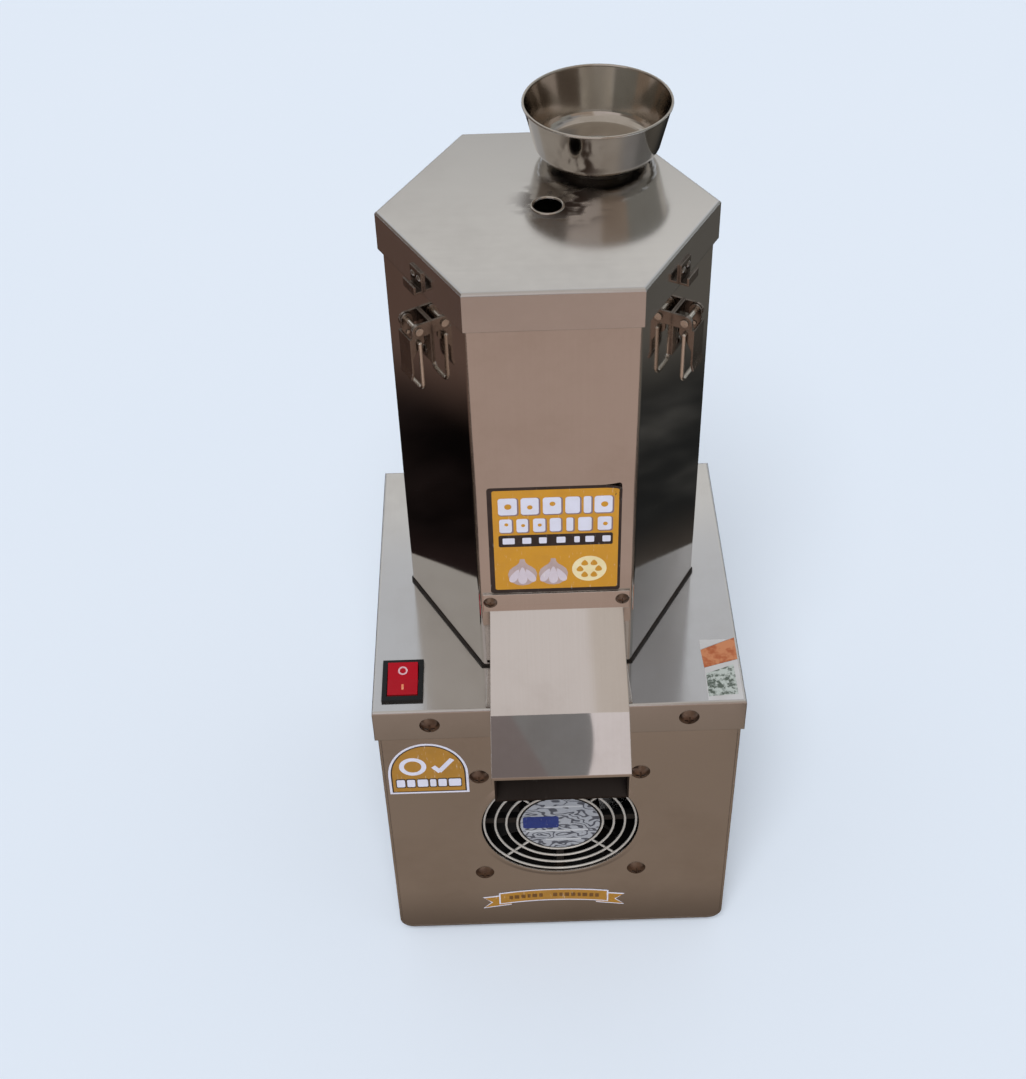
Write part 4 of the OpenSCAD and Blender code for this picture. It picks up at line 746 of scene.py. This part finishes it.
film("ribbon_tail_edges", ribbon_tails(1), print_pale, on_panel, loops=2)
film("ribbon_tails", ribbon_tails(0), print_gold, on_panel, step=1, loops=2)
film("ribbon_edge", [ribbon_outline(RIBBON_HALF + 1, RIBBON_TALL + 2.2)], print_pale, on_panel, step=2)
film("ribbon_band", [ribbon_outline(RIBBON_HALF, RIBBON_TALL)], print_gold, on_panel, step=3)
marks = [
    moved(round_rect(width, 4.2, 0.5), RIBBON_X + x, RIBBON_Z + ribbon_rise(x / RIBBON_HALF))
    for x, width in ((-30, 2.6), (-26, 3.4), (-21.4, 3), (-17.4, 2.2), (-13.4, 3.4), (-9, 2.6), (1, 3),
                     (5.2, 2.4), (9.4, 3.2), (13.8, 3), (18, 2.2), (22, 3.4), (26.6, 2.8), (30.6, 2.6))
]
film("ribbon_marks", marks, print_brown, on_panel, step=4, loops=2)

# Sticker at the right front corner of the base top, in parts with slanted joins
corner_x, corner_y = cover_right - 1.9 * MM, cover_front + 2 * MM


def on_corner(x, y, height):
    """A point of the corner sticker, in from the cover's right side and back from its front."""
    return corner_x - x, corner_y + y, base_top + height


film("corner_blank", [[(22.6, 43.4), (3.6, 51.8), (22.6, 51.8)]], print_blank, on_corner, loops=10)
film("corner_rear", [[(21.8, 27.7), (0, 34.2), (0, 53), (22.6, 43)]], print_rust, on_corner, loops=10)
film("corner_front", [[(22, 0), (0, 0), (0, 33.8), (21.8, 27.3)]], print_blank, on_corner, loops=10)
corner_art = [(21.4, 3.4), (2.8, 4.6), (3, 29.6), (21.2, 22.6)]
film("corner_art", [corner_art], print_leaf, on_corner, step=1, loops=10)


# Silver disc on the fan hub

def on_hub(x, y, height):
    return fan_middle.x + x, fan_middle.y - height, fan_middle.z + y


film("hub_disc", [disc(26.8)], print_silver, on_hub)
film("hub_patch", blocks([(-25, -1)], 12.4, 1.4), print_blue, on_hub, step=1, loops=3)
hub_lines = [
    moved(round_rect(width, 1.5, 0.7), x, y)
    for x, y, width in ((-2, -8, 42), (2, -17.6, 24), (2, 17.6, 26))
]
film("hub_lines", hub_lines, print_blank, on_hub, step=1, loops=2)

# Marks on the rocker: a ring on the raised half, a bar on the pressed half
ROCKER_TILT = radians(14)
MARK_RING, RING_DOTS = 2.5, 24
RING_MARK_Y, BAR_MARK_Y = 6.4, -6.2


def on_pressed_half(x, y, height):
    return rocker_middle.x + x, rocker_middle.y + y, rocker_ridge + height


def on_raised_half(x, y, height):
    return (
        rocker_middle.x + x,
        rocker_middle.y + y * cos(ROCKER_TILT) - height * sin(ROCKER_TILT),
        rocker_ridge + y * sin(ROCKER_TILT) + height * cos(ROCKER_TILT),
    )


mark_white = printed("mark white", tone(224, 190, 200), tone(206, 160, 170))
mark_amber = printed("mark amber", tone(226, 140, 96), tone(206, 116, 84))
bar_mark = moved(round_rect(1.4, 4.6, 0.5), 0, BAR_MARK_Y)
film("mark_bar", [bar_mark], mark_amber, on_pressed_half, body="rocker")
ring_marks = [
    moved(disc(0.55, 10), MARK_RING * cos(angle), RING_MARK_Y + MARK_RING * sin(angle))
    for angle in (2 * pi * i / RING_DOTS for i in range(RING_DOTS))
]
film("mark_ring", ring_marks, mark_white, on_raised_half, loops=1, body="rocker")


# Stage: pale floor, soft light, and cards that only mirrors see

def glow(name, colour_of):
    """An emitting material whose colour comes from a function of its tree and of the place."""
    material = bpy.data.materials.new(name)
    material.use_nodes = True
    tree = material.node_tree
    tree.nodes.clear()
    light = add(tree, "Emission", {"Color": colour_of(tree, local(tree)), "Strength": 1.0})
    tree.links.new(light.outputs[0], add(tree, "OutputMaterial").inputs["Surface"])
    return material


def card(name, corners, colour_of):
    """A glowing plane that shows in mirrors alone."""
    piece = new_object(name, corners, [(0, 1, 2, 3)], glow(name, colour_of))
    for rays in ("camera", "diffuse", "transmission", "volume_scatter", "shadow"):
        setattr(piece, "visible_" + rays, False)


def lying(x0, y0, x1, y1, z):
    return [(x0, y0, z), (x1, y0, z), (x1, y1, z), (x0, y1, z)]


def standing(x0, x1, y, z0, z1):
    return [(x0, y, z0), (x1, y, z0), (x1, y, z1), (x0, y, z1)]


def clouded(tree, where, scale, first, second):
    """Two tones that run into each other in wide soft patches."""
    return mix(tree, noise(tree, where, scale, 2.0), first, second)


def across_floor(tree, where):
    """Brown close to the box, pinkish tan further out."""
    ahead = axis(tree, where, "Y")
    near = mix(tree, noise(tree, where, 5.0, 3.0), tone(134, 118, 105), tone(146, 130, 117))
    near = mix(tree, ramp(tree, ahead, panel_front - 40 * MM, panel_front), near, tone(104, 91, 81))
    return mix(tree, ramp(tree, ahead, -0.26, -0.4), near, tone(180, 158, 147))


def left_dark(tree, where):
    """Near black in soft patches, and browner close by and further out."""
    aside = axis(tree, where, "X")
    patches = ramp(tree, noise(tree, where, 5.0, 4.0, 0.6), 0.35, 0.7)
    middle = mix(tree, patches, tone(8, 6, 6), tone(34, 27, 26))
    near = mix(tree, ramp(tree, aside, -0.37, -0.29), middle, tone(40, 29, 28))
    return mix(tree, ramp(tree, aside, -0.49, -0.6), near, tone(93, 74, 66))


def right_dark(tree, where):
    """Dark grey with a few paler streaks, paler close by and further out."""
    aside = axis(tree, where, "X")
    streaks = noise(tree, stretched(tree, where, (11.0, 3.0, 1.0)), 1.0, 4.0, 0.65)
    middle = mix(tree, ramp(tree, streaks, 0.5, 0.78), tone(34, 35, 35), tone(92, 91, 88))
    near = mix(tree, ramp(tree, aside, 0.37, 0.29), middle, tone(74, 68, 63))
    return mix(tree, ramp(tree, aside, 0.49, 0.62), near, tone(90, 87, 82))


def back_wall(tree, where):
    """Grows paler up to the height that the front of the lid mirrors, and is cooler above it."""
    height = axis(tree, where, "Z")
    lower = mix(tree, ramp(tree, height, 1.55, 2.12), tone(192, 192, 191), tone(234, 232, 228))
    return mix(tree, ramp(tree, height, 2.1, 2.3), lower, tone(208, 210, 214))


def room_front(tree, where):
    """A warm white wall that darkens a little towards its foot and on the right."""
    aside = axis(tree, where, "X")
    wall = clouded(tree, where, 0.9, tone(212, 205, 204), tone(222, 215, 213))
    wall = mix(tree, ramp(tree, aside, 0.17, 0.2), wall, tone(204, 195, 188))
    wall = mix(tree, ramp(tree, aside, 0.27, 0.35), wall, tone(178, 164, 153))
    return mix(tree, ramp(tree, axis(tree, where, "Z"), 0.9, 0.3), wall, tone(168, 156, 149))


def ceiling(tree, where):
    """Warm white, and greyer on the right."""
    wide = clouded(tree, where, 0.9, tone(196, 190, 185), tone(208, 203, 198))
    return mix(tree, ramp(tree, axis(tree, where, "X"), 1.4, 2.4), wide, tone(168, 169, 173))


def left_wall(tree, where):
    """Brown low down and pale higher up."""
    low = clouded(tree, where, 0.9, tone(112, 104, 98), tone(132, 123, 116))
    return mix(tree, ramp(tree, axis(tree, where, "Z"), 2.3, 3.5), low, tone(200, 196, 191))


def right_wall(tree, where):
    """Pale grey, and darker close to the ceiling."""
    high = clouded(tree, where, 0.9, tone(112, 114, 117), tone(130, 132, 135))
    return mix(tree, ramp(tree, axis(tree, where, "Z"), 3.3, 3.6), tone(158, 160, 159), high)


DOOR_SLANT, DOOR_BULGE = 0.57, 4.1
DOOR_MIDDLE = 0.412


def doorway(tree, where):
    """Grey with a brown corner and a sharp pale part on the right, for the lower face of the chute."""
    aside, height = axis(tree, where, "X"), axis(tree, where, "Z")
    grey = clouded(tree, where, 9.0, tone(126, 125, 127), tone(136, 135, 136))
    brown = clouded(tree, where, 9.0, tone(124, 116, 117), tone(134, 125, 125))
    slant = calc(tree, "MULTIPLY_ADD", height, DOOR_SLANT, aside)
    shade = mix(tree, ramp(tree, slant, 0.216, 0.212), grey, brown)
    away = calc(tree, "ABSOLUTE", calc(tree, "SUBTRACT", height, DOOR_MIDDLE))
    curve = calc(tree, "MULTIPLY_ADD", calc(tree, "POWER", away, 2.0), DOOR_BULGE, aside)
    return mix(tree, ramp(tree, curve, 0.0535, 0.0555), shade, tone(226, 219, 221))


ROOM_SIDE, ROOM_FRONT, ROOM_BACK, ROOM_TOP = 3.0, -2.6, 2.2, 4.0
CARD_LIFT = 1 * MM
SIDE_START, SIDE_END = 0.16, 2.4
SIDE_FRONT, SIDE_BACK = -0.5, 1.6


def side_wall(x):
    return [(x, ROOM_FRONT, 0), (x, ROOM_BACK, 0), (x, ROOM_BACK, ROOM_TOP), (x, ROOM_FRONT, ROOM_TOP)]


front_floor = lying(x0=-0.9, y0=-2.2, x1=0.9, y1=panel_front + 40 * MM, z=CARD_LIFT)
card("front_floor_card", front_floor, across_floor)
card("left_floor_card", lying(-SIDE_END, SIDE_FRONT, -SIDE_START, SIDE_BACK, CARD_LIFT), left_dark)
card("right_floor_card", lying(SIDE_START, SIDE_FRONT, SIDE_END, SIDE_BACK, CARD_LIFT), right_dark)
card("back_card", standing(-ROOM_SIDE, ROOM_SIDE, ROOM_BACK, 0.5, ROOM_TOP), back_wall)
card("room_card", standing(-ROOM_SIDE, ROOM_SIDE, ROOM_FRONT, 0.0, ROOM_TOP), room_front)
card("ceiling_card", lying(-ROOM_SIDE, ROOM_FRONT, ROOM_SIDE, ROOM_BACK, ROOM_TOP), ceiling)
card("left_wall_card", side_wall(-ROOM_SIDE), left_wall)
card("right_wall_card", side_wall(ROOM_SIDE), right_wall)
card("doorway_card", standing(x0=-0.12, x1=0.16, y=-0.9, z0=0.33, z1=0.475), doorway)

FLOOR_HALF = 14.0
BACKGROUND = tone(222, 232, 245)
floor_paint, floor_tree, floor_shader = new_material("floor")
floor_cloud = noise(floor_tree, local(floor_tree), 3.0)
floor_tint = mix(floor_tree, floor_cloud, BACKGROUND, tone(224, 233, 245))
feed(floor_tree, floor_shader, Base_Color=floor_tint, Roughness=0.9, Specular_IOR_Level=0.0)
floor_corners = lying(-FLOOR_HALF, -FLOOR_HALF, FLOOR_HALF, FLOOR_HALF, 0)
floor = new_object("floor", floor_corners, [(0, 1, 2, 3)], floor_paint)

world = bpy.data.worlds.new("pale room")
scene.world = world
world.use_nodes = True
sky = world.node_tree
sky.nodes.clear()
rays = add(sky, "LightPath").outputs
mirrored = calc(sky, "MAXIMUM", rays["Is Glossy Ray"], rays["Is Transmission Ray"])
seen = calc(sky, "MAXIMUM", rays["Is Camera Ray"], mirrored)
backdrop = add(sky, "Background", {"Color": BACKGROUND, "Strength": 1.0})
ambient = add(sky, "Background", {"Color": (1.0, 1.0, 1.0, 1.0), "Strength": 0.45})
shown = add(sky, "MixShader", {0: seen, 1: ambient.outputs[0], 2: backdrop.outputs[0]})
sky.links.new(shown.outputs[0], add(sky, "OutputWorld").inputs["Surface"])

lamp = bpy.data.lights.new("soft sun", "SUN")
lamp.energy = 2.1
lamp.angle = radians(30)
sun = bpy.data.objects.new("soft sun", lamp)
sun.rotation_euler = (radians(32), radians(-6), 0)
sun.visible_glossy = False
scene.collection.objects.link(sun)

# Camera fitted to the corners of box, tower and lid in the photo
eye = bpy.data.cameras.new("photo camera")
eye.sensor_width = 36.0
eye.lens = 54.62
eye.clip_start, eye.clip_end = 0.02, 60.0
camera = bpy.data.objects.new("photo camera", eye)
camera.location = (-22.92 * MM, -772.01 * MM, 1014.13 * MM)
camera.rotation_euler = (0.819, 0.025, -0.02)
scene.collection.objects.link(camera)
scene.camera = camera
